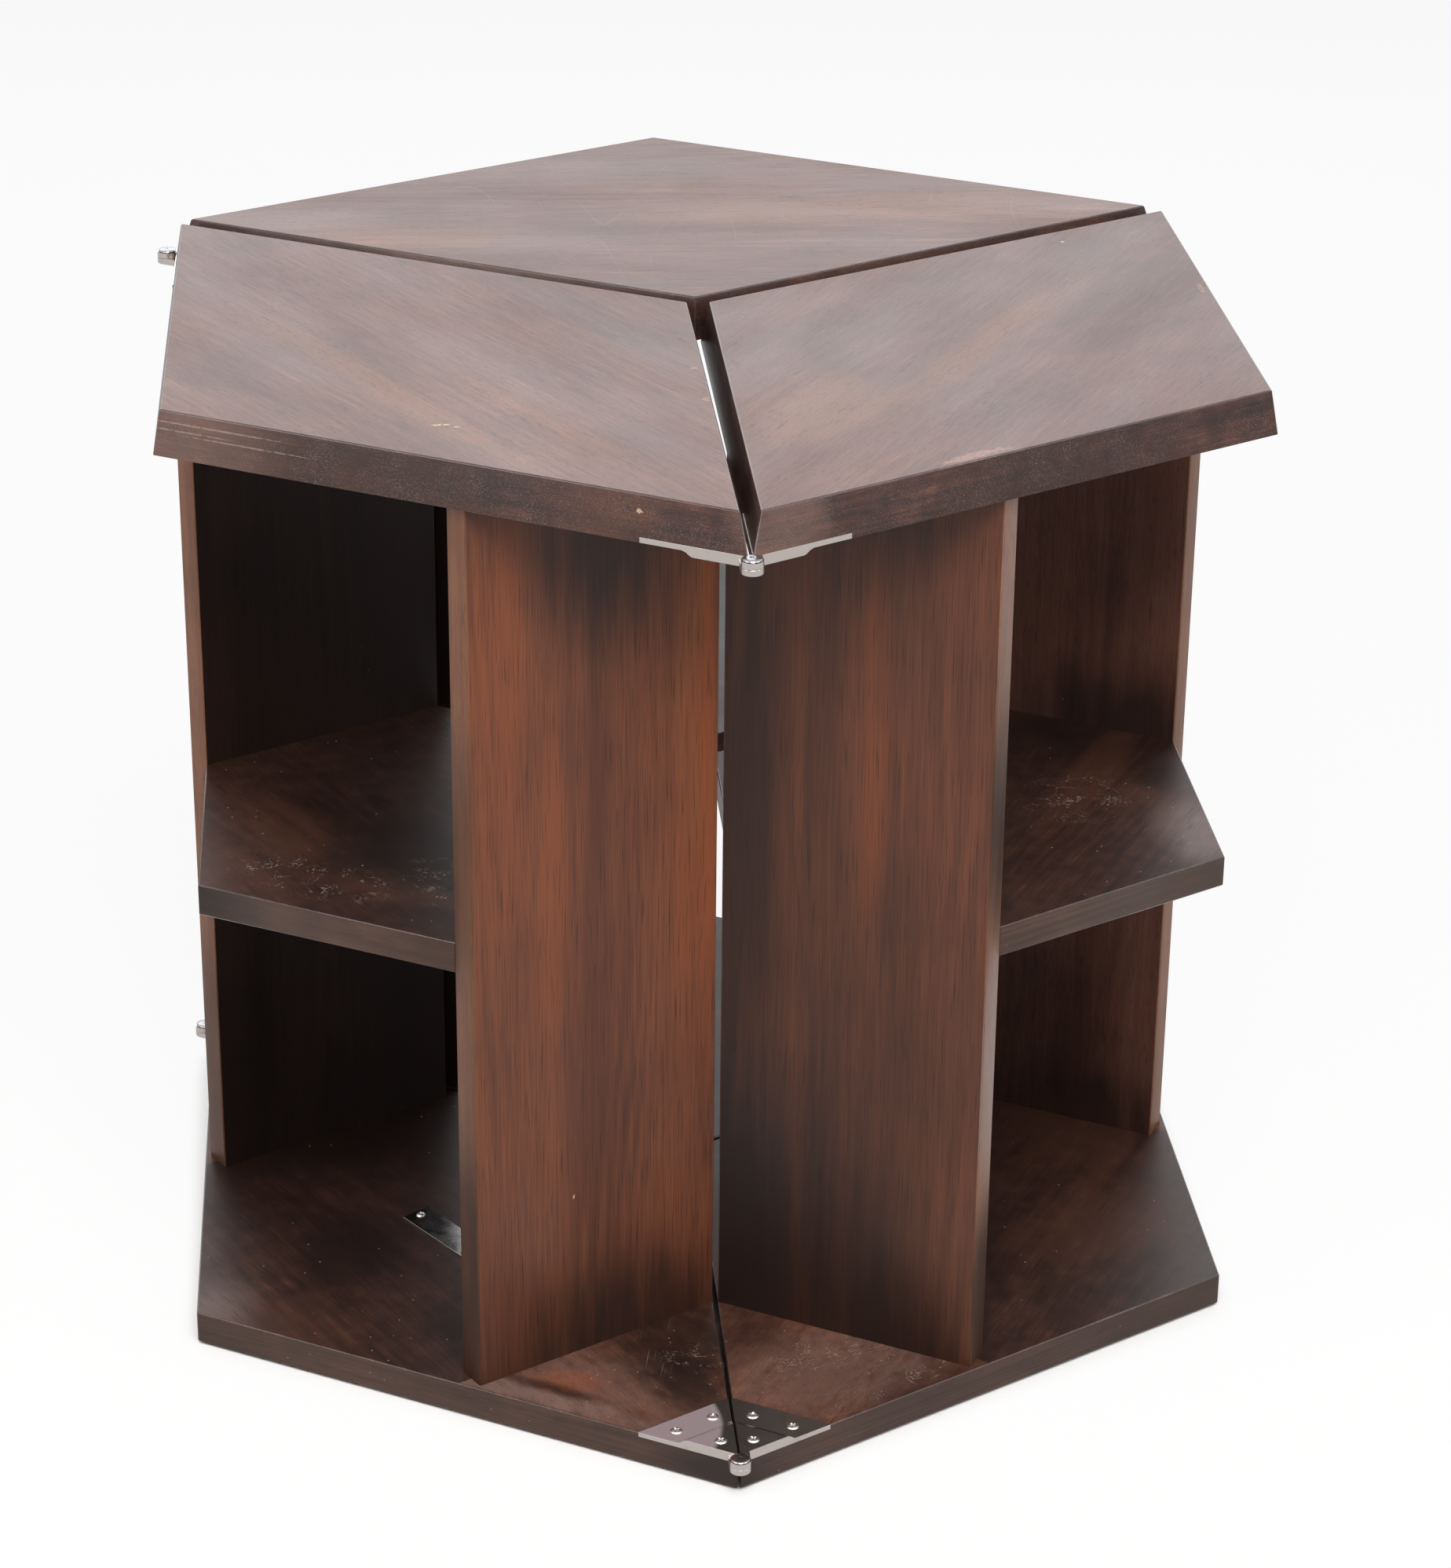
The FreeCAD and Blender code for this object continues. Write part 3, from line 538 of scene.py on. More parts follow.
    # pale wood and marks are duller; nibs stand up and pores sink in the lacquer's orange peel
    offset = add(tree, "Math", {0: tone, 1: 0.5}, operation="SUBTRACT")
    rough = {0: offset, 1: -look["toneSheen"], 2: noise["rough"]}
    rough = add(tree, "Math", rough, operation="MULTIPLY_ADD")
    rough = {0: pale, 1: look["paleRough"], 2: rough}
    rough = add(tree, "Math", rough, operation="MULTIPLY_ADD")
    relief = {0: speck, 1: look["nibHigh"], 2: noise["peel"]}
    relief = add(tree, "Math", relief, operation="MULTIPLY_ADD")
    relief = add(tree, "Math", {0: relief, 1: pores}, operation="SUBTRACT")
    bump = {"Height": relief, "Strength": look["relief"], "Distance": look["reliefDeep"] * mm}
    bump = add(tree, "Bump", bump)
    surface = {"Base Color": shade, "Roughness": rough, "Normal": bump}
    surface = add(tree, "BsdfPrincipled", {**surface, "Specular IOR Level": look["specular"]})
    add(tree, "OutputMaterial", {"Surface": surface})
    return material


plainLook = {
    # sizes in mm, shares from 0 to 1; hair lines, nibs and grit are drawn two or three times as
    # coarse as real ones to show
    "stops": [(0.0, "#3B2017"), (0.35, "#583221"), (0.65, "#6F402A"), (1.0, "#8C5535")],
    "driftLong": 520, "driftWide": 80, "ringWide": 13, "wander": 9, "figure": 0.1,
    "bandLong": 380, "bandWide": 34, "bands": 0.7, "streaks": 0.45,
    "hairLong": 26, "hairWide": 0.9, "hair": 0.6,
    "mottleWide": 30, "mottle": 0.0, "frayLong": 150, "frayWide": 16,
    "stain": "#2A1A15", "cloudy": 0.5,
    "pore": "#1E110D", "pores": 0.45, "poreLong": 10, "poreWide": 0.6, "pits": 0.7,
    "dust": "#B3A79F", "specks": 0.08, "speckGap": 16, "speckWide": 0.45, "speckShow": 0.5,
    "grit": 0.0, "arcs": 0.0, "arcTurn": 0,
    "scratches": [],  # turn in degrees, length, width, where in the noise they begin, strength
    "rough": 0.42, "patchy": 0.05, "paleRough": 0.2, "toneSheen": 0.0, "specular": 0.3,
    "peel": 0.4, "nibHigh": 1.5, "relief": 0.35, "reliefDeep": 0.08,
}
topLook = {
    # wide flat faces of the tops: satin lacquer that goes milky mauve against the light
    "stops": [(0.0, "#341E1B"), (0.35, "#573529"), (0.65, "#6D4535"), (1.0, "#8E5E45")],
    "bandLong": 260, "bandWide": 50, "bands": 0.42, "streaks": 0.5, "hair": 0.9, "figure": 0.05,
    "mottle": 0.3, "mottleWide": 60, "frayLong": 120, "frayWide": 22, "cloudy": 0.35,
    "pore": "#140B0A", "pores": 0.55, "poreLong": 6, "poreWide": 1.0, "pits": 1.0,
    "specular": 0.55, "rough": 0.4, "toneSheen": 0.05,
}
uprightLook = {
    # broad faces of the uprights: fine long pores; their marks darken the ends with toner and
    # painted shade
    "figure": 0.08, "bands": 0.34, "streaks": 0.3, "hairLong": 60,
    "frayLong": 190, "frayWide": 14, "cloudy": 0.3, "speckGap": 30,
    "poreLong": 34, "poreWide": 0.8, "pores": 0.55, "pits": 0.25,
}
baseLook = {
    # bases outside the uprights: browner where the toner is thin, dark in blotches
    "stops": [(0.0, "#2E1915"), (0.35, "#503227"), (0.65, "#664233"), (1.0, "#825A47")],
    "cloudy": 0.75, "mottle": 0.9, "mottleWide": 9, "frayLong": 16, "frayWide": 9,
    "poreLong": 5, "pores": 0.4, "specks": 0.3, "speckGap": 5, "speckWide": 0.6,
    "scratches": [(40, 50, 0.6, 0.76, 0.4)],
}
looks = {
    "walnutTopVeneerLeft": topLook,
    # the right top is the cloudiest: hardly a line of grain, only smudges
    "walnutTopVeneerRight": {
        **topLook,
        "stops": [(0.0, "#321E1C"), (0.35, "#54352B"), (0.65, "#6A4538"), (1.0, "#8B5E49")],
        "bands": 0.28, "streaks": 0.26, "hair": 0.8, "mottle": 0.4, "mottleWide": 46, "pores": 0.45,
    },
    # the back top has loops of grain and long arcs of fine scratches
    "walnutTopVeneerBack": {
        **topLook, "bands": 0.6, "figure": 0.1, "ringWide": 16, "arcs": 0.15, "arcTurn": 96,
        "scratches": [(62, 46, 0.5, 0.74, 0.22), (-64, 46, 0.5, 0.76, 0.2)],
    },
    # bevelled rims of the tops: solid walnut, nearly purple with toner and full of pale nibs
    "walnutTopLipping": {
        "stops": [(0.0, "#171010"), (0.35, "#2E1D1B"), (0.65, "#452A24"), (1.0, "#6A4336")],
        "bandLong": 110, "bandWide": 9, "ringWide": 5, "driftLong": 160, "driftWide": 20,
        "streaks": 0.6, "mottle": 0.9, "mottleWide": 14, "frayLong": 50, "frayWide": 14,
        "cloudy": 0.6,
        "speckGap": 1.1, "specks": 0.14, "speckWide": 0.2, "speckShow": 0.3, "grit": 0.42,
        "pores": 0.4, "pits": 0.5, "rough": 0.36, "relief": 0.6,
    },
    "walnutBaseVeneer": baseLook,
    "walnutBaseVeneerLeft": baseLook,
    # shelves and bases inside the compartments: darker stops and stain, painted shade
    "walnutInnerShaded": {
        "stops": [(0.0, "#1B110F"), (0.35, "#2E1D19"), (0.65, "#3F2921"), (1.0, "#5A3B2F")],
        "bands": 0.35, "streaks": 0.3, "hair": 0.9, "mottle": 0.8, "mottleWide": 13,
        "cloudy": 0.7, "stain": "#170E0B", "specks": 0.24, "speckGap": 7, "speckWide": 0.7,
        "pores": 0.4, "relief": 0.15,
    },
    # inner faces of the left and the back unit's uprights: nearly black, painted shade
    "walnutInsideShaded": {
        "stops": [(0.0, "#120A08"), (0.35, "#1D110D"), (0.65, "#291812"), (1.0, "#39231A")],
        "cloudy": 0.7, "stain": "#120B09", "specks": 0.1,
    },
    # inner faces of the right unit's uprights: brown with soft bands, painted light
    "walnutInsideLit": {
        "stops": [(0.0, "#432C26"), (0.35, "#5A3A30"), (0.65, "#6B463A"), (1.0, "#80584A")],
        "cloudy": 0.6, "stain": "#281B18", "bands": 0.9,
    },
    # square rims of bases and shelves: even dark brown
    "walnutBoardLipping": {
        "stops": [(0.0, "#2A1C16"), (0.5, "#453128"), (1.0, "#604638")],
        "bandLong": 110, "bandWide": 9, "ringWide": 6, "driftWide": 24,
        "cloudy": 0.5, "pores": 0.35, "streaks": 0.2, "hair": 0.3, "mottle": 0.5, "mottleWide": 34,
        "speckGap": 5, "specks": 0.14,
    },
    "walnutUprightVeneer": uprightLook,
    # warm red-brown
    "walnutUprightVeneerLeft": {
        **uprightLook,
        "stops": [(0.0, "#3E2218"), (0.35, "#5A3323"), (0.65, "#73422B"), (1.0, "#935936")],
    },
    # the same veneer, darker
    "walnutUprightVeneerRight": {
        **uprightLook,
        "stops": [(0.0, "#341D14"), (0.35, "#4D2C1F"), (0.65, "#633926"), (1.0, "#7C4B30")],
    },
    # front rims of the uprights: lighter tan
    "walnutUprightLipping": {
        "stops": [(0.0, "#5C3D2F"), (0.5, "#7B523D"), (1.0, "#916447")],
        "bandWide": 7, "pores": 0.3, "cloudy": 0.5, "stain": "#3E2A22", "frayWide": 30,
        "specular": 0.14,
    },
    # arrises: lacquer runs thick and shiny there, a thin pale line with duller breaks
    "walnutArris": {
        "stops": [(0.0, "#2A1C1A"), (0.5, "#45332F"), (1.0, "#6E554C")],
        "bandLong": 60, "bandWide": 30, "bands": 1.2, "pores": 0.2, "cloudy": 0.2,
        "specular": 0.6, "rough": 0.22,
    },
}
woods = {name: walnut(name, {**plainLook, **look}) for name, look in looks.items()}
print("walnut ready")


boards = {
    # slot, broad faces, rims
    "top_board": ("walnut_top", "walnutTopVeneer", "walnutTopLipping"),
    "base_board": ("walnut_base", "walnutBaseVeneer", "walnutBoardLipping"),
    "shelf": ("walnut_shelf", "walnutInnerShaded", "walnutBoardLipping"),
    "upright": ("walnut_upright", "walnutUprightVeneer", "walnutUprightLipping"),
}
insideReach = 152.5 * mm  # middle of an upright, from the unit's short diagonal
# the uprights' inner faces: painted shade in the left and back units, painted light in the right
# one
insideLooks = {"left": "walnutInsideShaded", "right": "walnutInsideLit", "back": "walnutInsideShaded"}
veneerStep = (0.83, 0.37)  # metres from one board's veneer to the next, so that no two are alike
broadLean, arrisLean = 0.6, (0.3, 0.97)  # how squarely a broad face and an arris look their way
veneerFace, rimFace, insideFace, arrisFace = range(4)  # the order of a board's materials
smallGap, tinyGap = 1e-6, 1e-7  # metres, for points that are the same on boards and on screws


def woodFor(look, unit):
    # a unit's own veneer where it has one
    return woods.get(look + unit.capitalize()) or woods[look]


def copyOf(node):
    mesh = bmesh.new()
    mesh.from_mesh(frame["nodes"][node].data)
    bmesh.ops.remove_doubles(mesh, verts=mesh.verts, dist=smallGap)
    bmesh.ops.dissolve_limit(
        mesh, angle_limit=math.radians(0.4), use_dissolve_boundaries=False,
        verts=mesh.verts, edges=mesh.edges,
    )
    return mesh


def cutAt(mesh, unit, reach):
    # a line across the board under the middle of an upright, where the painted shade of a
    # compartment begins
    place = unitPlaces[unit]
    for side in (-1, 1):
        bmesh.ops.bisect_plane(
            mesh, geom=mesh.verts[:] + mesh.edges[:] + mesh.faces[:], dist=smallGap,
            plane_co=place @ Vector((side * reach, 0, 0)),
            plane_no=place.to_3x3() @ Vector((1, 0, 0)),
        )


def mapBoard(mesh, unit, kind, seed):
    # grain: metres along and across the grain
    grain = mesh.loops.layers.uv.new("grain")
    back = unitPlaces[unit].inverted()
    upright = kind == "upright"
    for face in mesh.faces:
        normal = back.to_3x3() @ face.normal
        centre = back @ face.calc_center_median()
        level = abs(normal.z) > broadLean
        beside = Vector((1, 0, 0)) if level else Vector((-normal.y, normal.x, 0)).normalized()
        for loop in face.loops:
            spot = back @ loop.vert.co
            if upright and not level:
                along, across = spot.z, spot.dot(beside)
            else:
                along, across = (spot.x, spot.y) if level else (spot.dot(beside), spot.z)
            loop[grain].uv = (along + seed * veneerStep[0], across + seed * veneerStep[1])
        lean = abs(normal.x) if upright else abs(normal.z)
        if upright:
            inner = normal.x * centre.x < 0
        else:
            inner = kind != "top_board" and abs(centre.x) < insideReach
        if arrisLean[0] < lean < arrisLean[1]:
            face.material_index = arrisFace
        elif lean > broadLean:
            face.material_index = insideFace if inner else veneerFace
        else:
            face.material_index = rimFace


def finishPiece(mesh, node, body, slot, *materials):
    name = node.replace("_", "-")
    piece = placed(name, stored(name, mesh))
    for material in materials:
        piece.data.materials.append(material)
    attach(piece, body)
    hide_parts(node)
    return piece


def roundShading(mesh, sharpAngle=50):
    sharp = math.radians(sharpAngle)
    for face in mesh.faces:
        face.smooth = True
    for edge in mesh.edges:
        edge.smooth = len(edge.link_faces) == 2 and edge.calc_face_angle(0) < sharp


def weightNormals(piece):
    weighted = piece.modifiers.new("weighted", "WEIGHTED_NORMAL")
    weighted.keep_sharp = True
    weighted.weight = 80


def roundEdges(piece, wide, angle):
    rounded = piece.modifiers.new("rounded", "BEVEL")
    rounded.width = wide * mm
    rounded.segments = 2
    rounded.limit_method = "ANGLE"
    rounded.angle_limit = math.radians(angle)
    weightNormals(piece)


def makeBoards():
    seed = 1
    for node in sorted(frame["nodes"]):
        unit = node.split("_")[0]
        kind = next((kind for kind in boards if node.endswith(kind)), None)
        if kind is None:
            continue
        slot, veneer, lipping = boards[kind]
        mesh = copyOf(node)
        if kind == "base_board":
            cutAt(mesh, unit, insideReach)
        mapBoard(mesh, unit, kind, seed)
        roundShading(mesh)
        inner = insideLooks[unit] if kind == "upright" else "walnutInnerShaded"
        arris = lipping if kind == "upright" else "walnutArris"
        finishes = [woodFor(look, unit) for look in (veneer, lipping, inner, arris)]
        weightNormals(finishPiece(mesh, node, bodyOf[unit], slot, *finishes))
        seed += 1


makeBoards()
print("boards ready")


nickel = {
    "patchWide": 9,  # mm, how far apart the gloss changes
    "tarnish": "#8E8780", "tarnished": 0.35,
    "fog": "#A09298", "fogRough": 0.3, "fogMetal": 0.25,  # a painted reflection in one place: lighter, duller and less metallic
    "markDeep": 0.03,  # mm
    "finishes": {
        # colour, roughness and how much it varies, mm between the polishing marks along each
        # axis (wider than real ones, to show) and how far they stand, and the middle and size
        # in mm of the painted reflection; first, faces buffed to a mirror
        "mirrorNickel": (
            "#DCD7D0", 0.035, 0.05, (0.7, 0.7, 0.7), 0.05, ((-44, -312, 22), (46, 60, 12)),
        ),
        # rims left satin by the press
        "satinNickel": ("#B8AFAA", 0.3, 0.12, (1.5, 1.5, 0.25), 0.5, None),
        # turned pins, bright with faint rings
        "turnedNickel": ("#A9A8AC", 0.19, 0.07, (20, 20, 0.22), 0.25, None),
        # tumbled screws, soft all over
        "screwNickel": ("#DAD8D6", 0.3, 0.1, (0.8, 0.8, 0.8), 0.3, None),
        # plate brushed along its length, greyer
        "plateNickel": ("#A9A6A3", 0.14, 0.1, (0.5, 3, 3), 0.3, None),
    },
}


def nickelPlate(name, code, rough, wear, lines, lift, fog):
    # nickel on steel: warm silver that dulls in patches
    material, tree = newMaterial(name)
    spot = add(tree, "TexCoord", output="Object")
    patches = {"Vector": spot, "Scale": 1000 / nickel["patchWide"], "Detail": 3}
    patches = add(tree, "TexNoise", patches, "Fac")
    gloss = add(tree, "MapRange", {0: patches, 1: 0.35, 2: 0.7, 3: rough, 4: rough + wear})
    dull = add(tree, "MapRange", {0: patches, 1: 0.55, 2: 0.8, 4: nickel["tarnished"]})
    shade = {0: dull, 6: colour(code), 7: colour(nickel["tarnish"])}
    shade = add(tree, "Mix", shade, 2, data_type="RGBA")
    metal = 1.0
    # painted reflection: a lighter, duller, less metallic patch of the mirror
    if fog:
        near = {0: spot, "Location": inMm(fog[0]), "Scale": inMm(fog[1])}
        near = add(tree, "Mapping", near, vector_type="TEXTURE")
        blob = add(tree, "TexGradient", {0: near}, "Fac", gradient_type="SPHERICAL")
        share = add(tree, "MapRange", {0: blob, 1: 0.02, 2: 0.12}, interpolation_type="SMOOTHSTEP")
        gloss = add(tree, "Mix", {0: share, 2: gloss, 3: nickel["fogRough"]})
        shade = {0: share, 6: shade, 7: colour(nickel["fog"])}
        shade = add(tree, "Mix", shade, 2, data_type="RGBA")
        metal = add(tree, "MapRange", {0: share, 3: 1, 4: nickel["fogMetal"]})
    spread = add(tree, "Mapping", {0: spot, "Scale": tuple(1000 / line for line in lines)})
    polish = add(tree, "TexNoise", {"Vector": spread, "Scale": 1.0, "Detail": 2}, "Fac")
    bump = {"Height": polish, "Strength": lift, "Distance": nickel["markDeep"] * mm}
    bump = add(tree, "Bump", bump)
    surface = {"Base Color": shade, "Roughness": gloss, "Metallic": metal, "Normal": bump}
    add(tree, "OutputMaterial", {"Surface": add(tree, "BsdfPrincipled", surface)})
    return material


nickels = {name: nickelPlate(name, *finish) for name, finish in nickel["finishes"].items()}

hinge = {
    "thin": 3, "thick": 6,  # leaf and its corner, mm
    "rampRound": 1.3, "rampSteps": 6,  # turns the ramp into a soft S
    "edgeRound": 0.22,
    "headWide": 7.1, "headHigh": 1.1, "shankWide": 3.4, "screwLong": 15, "screwTip": 1.5,
    "screwCross": (0.95, 3.9, 0.75),  # width, length and depth of the recess
    "cornerIn": (0.75, 0.433),  # the hexagon's corner to a leaf's, along and across the diagonal
    "spots": ((37.3, 12.2), (12.2, 37.3), (9.7, 9.7)),  # screws, from the two sides of the corner
    "screwClear": 4, "knuckleClear": 8,  # a slope nearer to a screw or the axis isn't the ramp
    # how far up a slope, the flats beside it, a side and a knuckle's end look
    "slopeLean": (0.3, 0.97), "flatLean": 0.99, "sideLean": 0.1, "endLean": 0.9, "rimLoose": 0.2,
    "knuckleWide": 12, "knuckleRound": 0.4, "capHigh": 1.4, "capWide": 11, "pinWide": 5,
}
sides = {
    # each hinge line's two units, and on which hand their corner is there
    "front": (("left", -1), ("right", 1)),
    "rear": (("left", 1), ("back", -1)),
}


def screwPlaces(unit, hand):
    # on the unit's drawing: across the long diagonal from its acute corner
    inward, aside = inMm(hinge["cornerIn"])
    acute = Vector((sideLong * math.sqrt(3) / 2 - inward, sideLong / 2 + aside))
    for first, second in hinge["spots"]:
        along = acute.x - (first + second) * mm * math.sqrt(3) / 2
        yield unitPlaces[unit] @ Vector((hand * along, acute.y + (first - second) * mm / 2, 0))


def spunMesh(profile, steps):
    # a turned shape from (radius, height) in mm, about Z
    mesh = bmesh.new()
    points = [mesh.verts.new((radius * mm, 0, height * mm)) for radius, height in profile]
    edges = [mesh.edges.new(pair) for pair in zip(points, points[1:])]
    bmesh.ops.spin(
        mesh, geom=points + edges, cent=(0, 0, 0), axis=(0, 0, 1), angle=2 * math.pi,
        steps=steps, use_merge=True,
    )
    bmesh.ops.remove_doubles(mesh, verts=mesh.verts, dist=tinyGap)
    bmesh.ops.recalc_face_normals(mesh, faces=mesh.faces)
    return mesh


def cutCross(mesh, wide, long, deep):
    # a cross recess: lines are cut over the head, then the faces inside them are pushed down
    crownLow, narrow = 0.05 * mm, 0.6  # the crown is what lies higher; the floor is narrower
    for normal in ((1, 0, 0), (0, 1, 0)):
        for reach in (-long / 2, -wide / 2, wide / 2, long / 2):
            crown = [face for face in mesh.faces if face.calc_center_median().z > crownLow]
            rims = list({edge for face in crown for edge in face.edges})
            points = list({point for face in crown for point in face.verts})
            bmesh.ops.bisect_plane(
                mesh, geom=points + rims + crown, dist=tinyGap,
                plane_co=Vector(normal) * reach * mm, plane_no=normal,
            )
    half, end = wide / 2 * mm + tinyGap, long / 2 * mm + tinyGap
    cross = []
    for face in mesh.faces:
        centre = face.calc_center_median()
        arms = sorted((abs(centre.x), abs(centre.y)))
        if centre.z > crownLow and arms[0] < half and arms[1] < end:
            cross.append(face)
    sunk = bmesh.ops.extrude_face_region(mesh, geom=cross)["geom"]
    floor = [item for item in sunk if isinstance(item, bmesh.types.BMVert)]
    bmesh.ops.delete(mesh, geom=cross, context="FACES_ONLY")
    bmesh.ops.scale(mesh, vec=(narrow, narrow, 1), verts=floor)
    bmesh.ops.translate(mesh, vec=(0, 0, -deep * mm), verts=floor)
    bmesh.ops.recalc_face_normals(mesh, faces=mesh.faces)


def screwMesh(name, profile, cross):
    mesh = spunMesh(profile, 32)
    cutCross(mesh, *cross)
    return stored(name, mesh)


def addCopy(mesh, template, matrix):
    first = len(mesh.verts)
    mesh.from_mesh(template)
    bmesh.ops.transform(mesh, matrix=matrix, verts=mesh.verts[first:])


def putScrews(node, template, places, body):
    # places: point of the leaf's face, and whether the screw's head looks up
    mesh = bmesh.new()
    for number, (point, up) in enumerate(places):
        turn = Matrix.Rotation(number * 2.4 + 0.5, 4, "Z")  # each was driven to a different stop
        flip = Matrix() if up else Matrix.Rotation(math.pi, 4, "X")
        addCopy(mesh, template, Matrix.Translation(point) @ flip @ turn)
    roundShading(mesh, 40)
    finishPiece(mesh, node, body, "bright_screw", nickels["screwNickel"])


def makeHingeScrews():
    head, sunk = hinge["headWide"] / 2, (hinge["headWide"] - hinge["shankWide"]) / 2
    shank, high = hinge["shankWide"] / 2, hinge["headHigh"]
    profile = [
        (0, high), (head * 0.25, high * 0.985), (head * 0.5, high * 0.9),
        (head * 0.72, high * 0.72), (head * 0.88, high * 0.45), (head * 0.97, high * 0.18),
        (head, 0.02), (head * 0.98, -0.06), (shank, -sunk),
        (shank, hinge["screwTip"] - hinge["screwLong"]), (0, -hinge["screwLong"]),
    ]
    template = screwMesh("hinge-screw", profile, hinge["screwCross"])
    places = {unit: [] for unit in turns}
    for line, pair in sides.items():
        for unit, hand in pair:
            for level, up in (("bottom", True), ("top", False)):
                lowest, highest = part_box(f"{line}_{level}_leaf_left")
                for number, point in enumerate(screwPlaces(unit, hand)):
                    rise = hinge["thick"] if number == 2 else hinge["thin"]  # last in the corner
                    point.z = lowest[2] + rise * mm if up else highest[2] - rise * mm
                    places[unit].append((point, up))
    for unit, spots in places.items():
        putScrews(f"{unit}_hinge_screws", template, spots, bodyOf[unit])


def makeLeaf(node, unit, hand, axis):
    mesh = copyOf(node)
    screws = list(screwPlaces(unit, hand))
    slopes = []
    for face in mesh.faces:
        centre = face.calc_center_median()
        flat = Vector((centre.x, centre.y, 0))
        clear = min((flat - spot).length for spot in screws) > hinge["screwClear"] * mm
        clear = clear and (flat - axis).length > hinge["knuckleClear"] * mm
        if clear and hinge["slopeLean"][0] < abs(face.normal.z) < hinge["slopeLean"][1]:
            slopes.append(face)
    ends = {
        edge for face in slopes for edge in face.edges
        if any(abs(other.normal.z) > hinge["flatLean"] for other in edge.link_faces)
    }
    bmesh.ops.bevel(
        mesh, geom=list(ends), offset=hinge["rampRound"] * mm, segments=hinge["rampSteps"],
        affect="EDGES", profile=0.5, material=-1, clamp_overlap=True,
    )
    mirror, satin, turned = range(3)  # the order of its finishes
    for face in mesh.faces:
        face.material_index = mirror if abs(face.normal.z) > hinge["slopeLean"][0] else satin
    outline = hinge["knuckleWide"] / 2 * mm
    rims = []
    for edge in mesh.edges:
        levels = sorted(abs(face.normal.z) for face in edge.link_faces)
        reaches = [(Vector((point.co.x, point.co.y, 0)) - axis).length for point in edge.verts]
        onRim = all(abs(reach - outline) < hinge["rimLoose"] * mm for reach in reaches)
        if onRim and levels[0] < hinge["sideLean"] and levels[-1] > hinge["endLean"]:
            rims.append(edge)
    rounded = bmesh.ops.bevel(
        mesh, geom=rims, offset=hinge["knuckleRound"] * mm, segments=3,
        affect="EDGES", profile=0.5, material=-1, clamp_overlap=True,
    )
    for face in rounded["faces"]:
        face.material_index = turned
    roundShading(mesh, 35)
    finishes = [nickels[finish] for finish in ("mirrorNickel", "satinNickel", "turnedNickel")]
    leaf = finishPiece(mesh, node, bodyOf[unit], "plated_leaf", *finishes)
    roundEdges(leaf, hinge["edgeRound"], 35)


def makePin(node, axis):
    lowest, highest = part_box(node)
    total = (highest[2] - lowest[2]) / mm
    under = total - hinge["capHigh"]
    pin, cap = hinge["pinWide"] / 2, hinge["capWide"] / 2
    profile = [
        # the shank, the cap's underside, its dome, and the dimple in the middle
        (0, 0), (pin - 0.2, 0), (pin, 0.2), (pin, under),
        (cap - 0.4, under), (cap - 0.08, under + 0.15), (cap, under + 0.36),
        (cap - 0.1, under + 0.62), (cap - 0.45, under + 0.92), (cap - 1.2, under + 1.16),
        (cap - 2.4, under + 1.33), (cap - 3.6, under + 1.4),
        (1.15, under + 1.37), (0.85, under + 1.2), (0.45, under + 1.08), (0, under + 1.05),
    ]
    mesh = spunMesh(profile, 64)
    bmesh.ops.translate(mesh, vec=(axis.x, axis.y, lowest[2]), verts=mesh.verts)
    roundShading(mesh, 40)
    finishPiece(mesh, node, "left_unit", "polished_pin", nickels["turnedNickel"])


def makeHinges():
    for line, pair in sides.items():
        axis = hingeAxes[bodyOf[pair[1][0]]].copy()  # the second unit turns on it
        axis.z = 0
        for level in ("bottom", "top"):
            for unit, hand in pair:
                makeLeaf(f"{line}_{level}_leaf_{unit}", unit, hand, axis)
            makePin(f"{line}_{level}_pin", axis)
    makeHingeScrews()


makeHinges()
print("hinges ready")


plate = {
    # mm and degrees on the left unit's drawing
    "middle": (-5.5, 185), "turn": 5, "long": 64, "screwIn": 5, "edgeRound": 0.15,
    "headWide": 5.6, "headHigh": 1.5, "shankWide": 2.4, "screwLong": 11, "screwTip": 1,
    "screwCross": (0.8, 2.9, 0.6),
}


def makePlate():
    mesh = copyOf("blank_plate")
    roundShading(mesh, 35)
    piece = finishPiece(mesh, "blank_plate", "left_unit", "mirror_plate", nickels["plateNickel"])
    roundEdges(piece, plate["edgeRound"], 30)
    head, high, shank = plate["headWide"] / 2, plate["headHigh"], plate["shankWide"] / 2
    profile = [
        (0, high), (head * 0.3, high * 0.97), (head * 0.6, high * 0.82), (head * 0.85, high * 0.5),
        (head, 0.15), (head, 0), (shank, 0), (shank, plate["screwTip"] - plate["screwLong"]),
        (0, -plate["screwLong"]),
    ]
    template = screwMesh("plate-screw", profile, plate["screwCross"])
    lowest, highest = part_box("blank_plate")
    middle = Vector((plate["middle"][0] * mm, plate["middle"][1] * mm, highest[2]))
    lean = Matrix.Rotation(math.radians(plate["turn"]), 4, "Z")
    reach = (plate["long"] / 2 - plate["screwIn"]) * mm
    places = []
    for side in (-1, 1):
        point = middle + lean @ Vector((side * reach, 0, 0))
        places.append((unitPlaces["left"] @ point, True))
    putScrews("plate_screws", template, places, "left_unit")


makePlate()
print("plate ready")


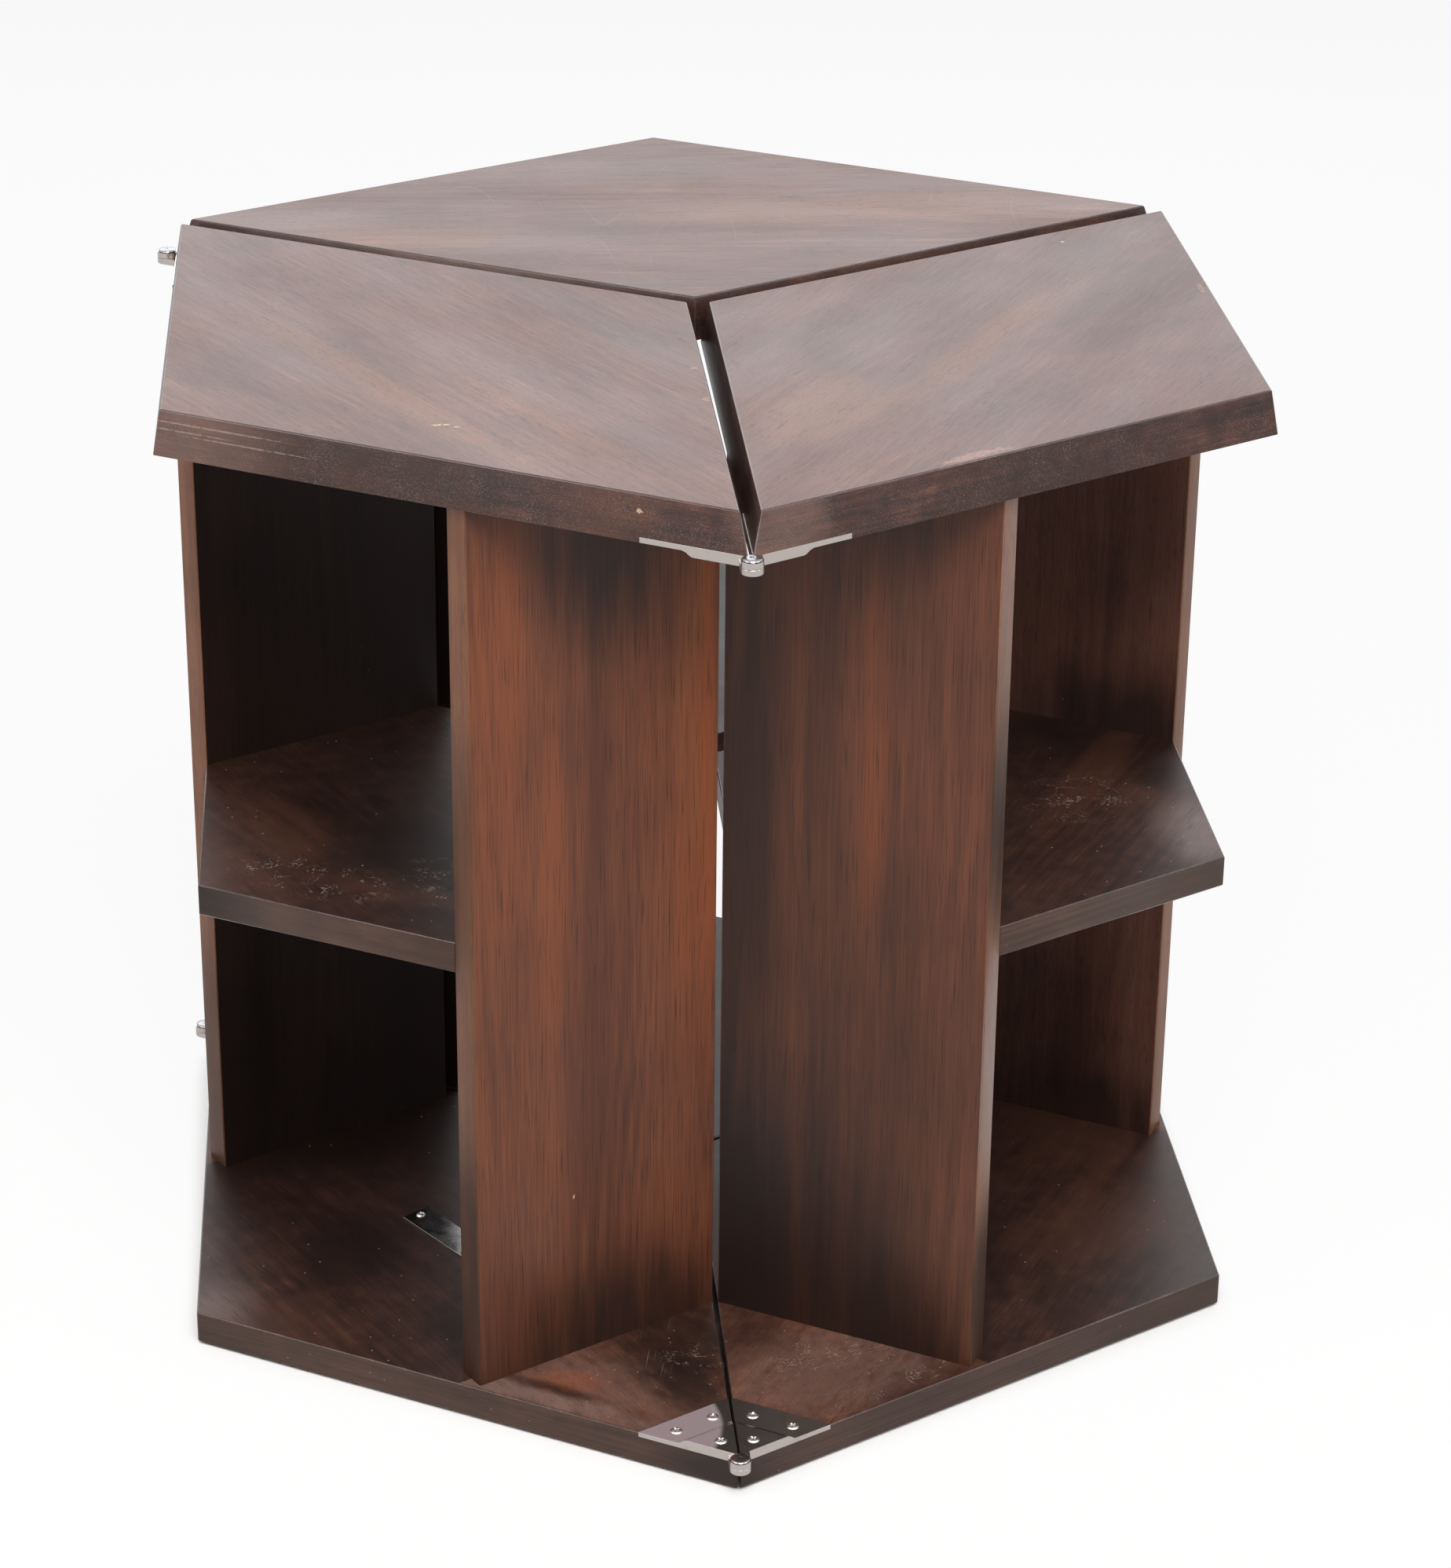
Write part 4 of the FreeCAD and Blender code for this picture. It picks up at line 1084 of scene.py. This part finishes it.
glide = {
    # mm: across a glide, and in from a unit's outer, inner and acute corners
    "wide": 20, "inset": 38, "insetInner": 38.9, "insetLong": 58,
}
bareFinishes = {
    # two colours, roughness, mm of grain along each axis
    "mouldedNylon": ("#1B1715", "#2A2421", 0.5, (1, 1, 1)),  # near black and matt, finely pitted
    "plainBeech": ("#B08A5E", "#CBA477", 0.6, (12, 12, 1.2)),  # pale bare wood with short flecks
}


def bareMaterial(name, darker, paler, rough, grain):
    material, tree = newMaterial(name)
    spot = add(tree, "TexCoord", output="Object")
    spread = add(tree, "Mapping", {0: spot, "Scale": tuple(1000 / size for size in grain)})
    fine = add(tree, "TexNoise", {"Vector": spread, "Scale": 1.0, "Detail": 3}, "Fac")
    shade = add(tree, "ValToRGB", {0: fine}, "Color", [(0.3, darker), (0.7, paler)])
    bump = add(tree, "Bump", {"Height": fine, "Strength": 0.3, "Distance": 0.05 * mm})
    surface = {"Base Color": shade, "Roughness": rough, "Normal": bump}
    add(tree, "OutputMaterial", {"Surface": add(tree, "BsdfPrincipled", surface)})
    return material


bare = {name: bareMaterial(name, *settings) for name, settings in bareFinishes.items()}


def makeGlides(unit):
    node = f"{unit}_glides"
    lowest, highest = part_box(node)
    high, wide = (highest[2] - lowest[2]) / mm, glide["wide"] / 2
    profile = [
        (0, high), (wide, high), (wide, high * 0.5),
        (wide - 0.2, high * 0.2), (wide - 0.7, 0), (0, 0),
    ]
    template = stored("glide", spunMesh(profile, 48))
    inner, outer = glide["insetInner"] * mm, sideLong - glide["inset"] * mm
    acute = sideLong * math.sqrt(3) / 2 - glide["insetLong"] * mm
    mesh = bmesh.new()
    for x, y in ((0, inner), (0, outer), (-acute, sideLong / 2), (acute, sideLong / 2)):
        addCopy(mesh, template, Matrix.Translation(unitPlaces[unit] @ Vector((x, y, 0))))
    roundShading(mesh, 40)
    finishPiece(mesh, node, bodyOf[unit], "nylon", bare["mouldedNylon"])


for unit in turns:
    makeGlides(unit)
    tenons = frame["nodes"][f"{unit}_tenons"].data
    tenons.materials.clear()
    tenons.materials.append(bare["plainBeech"])
print("glides ready")
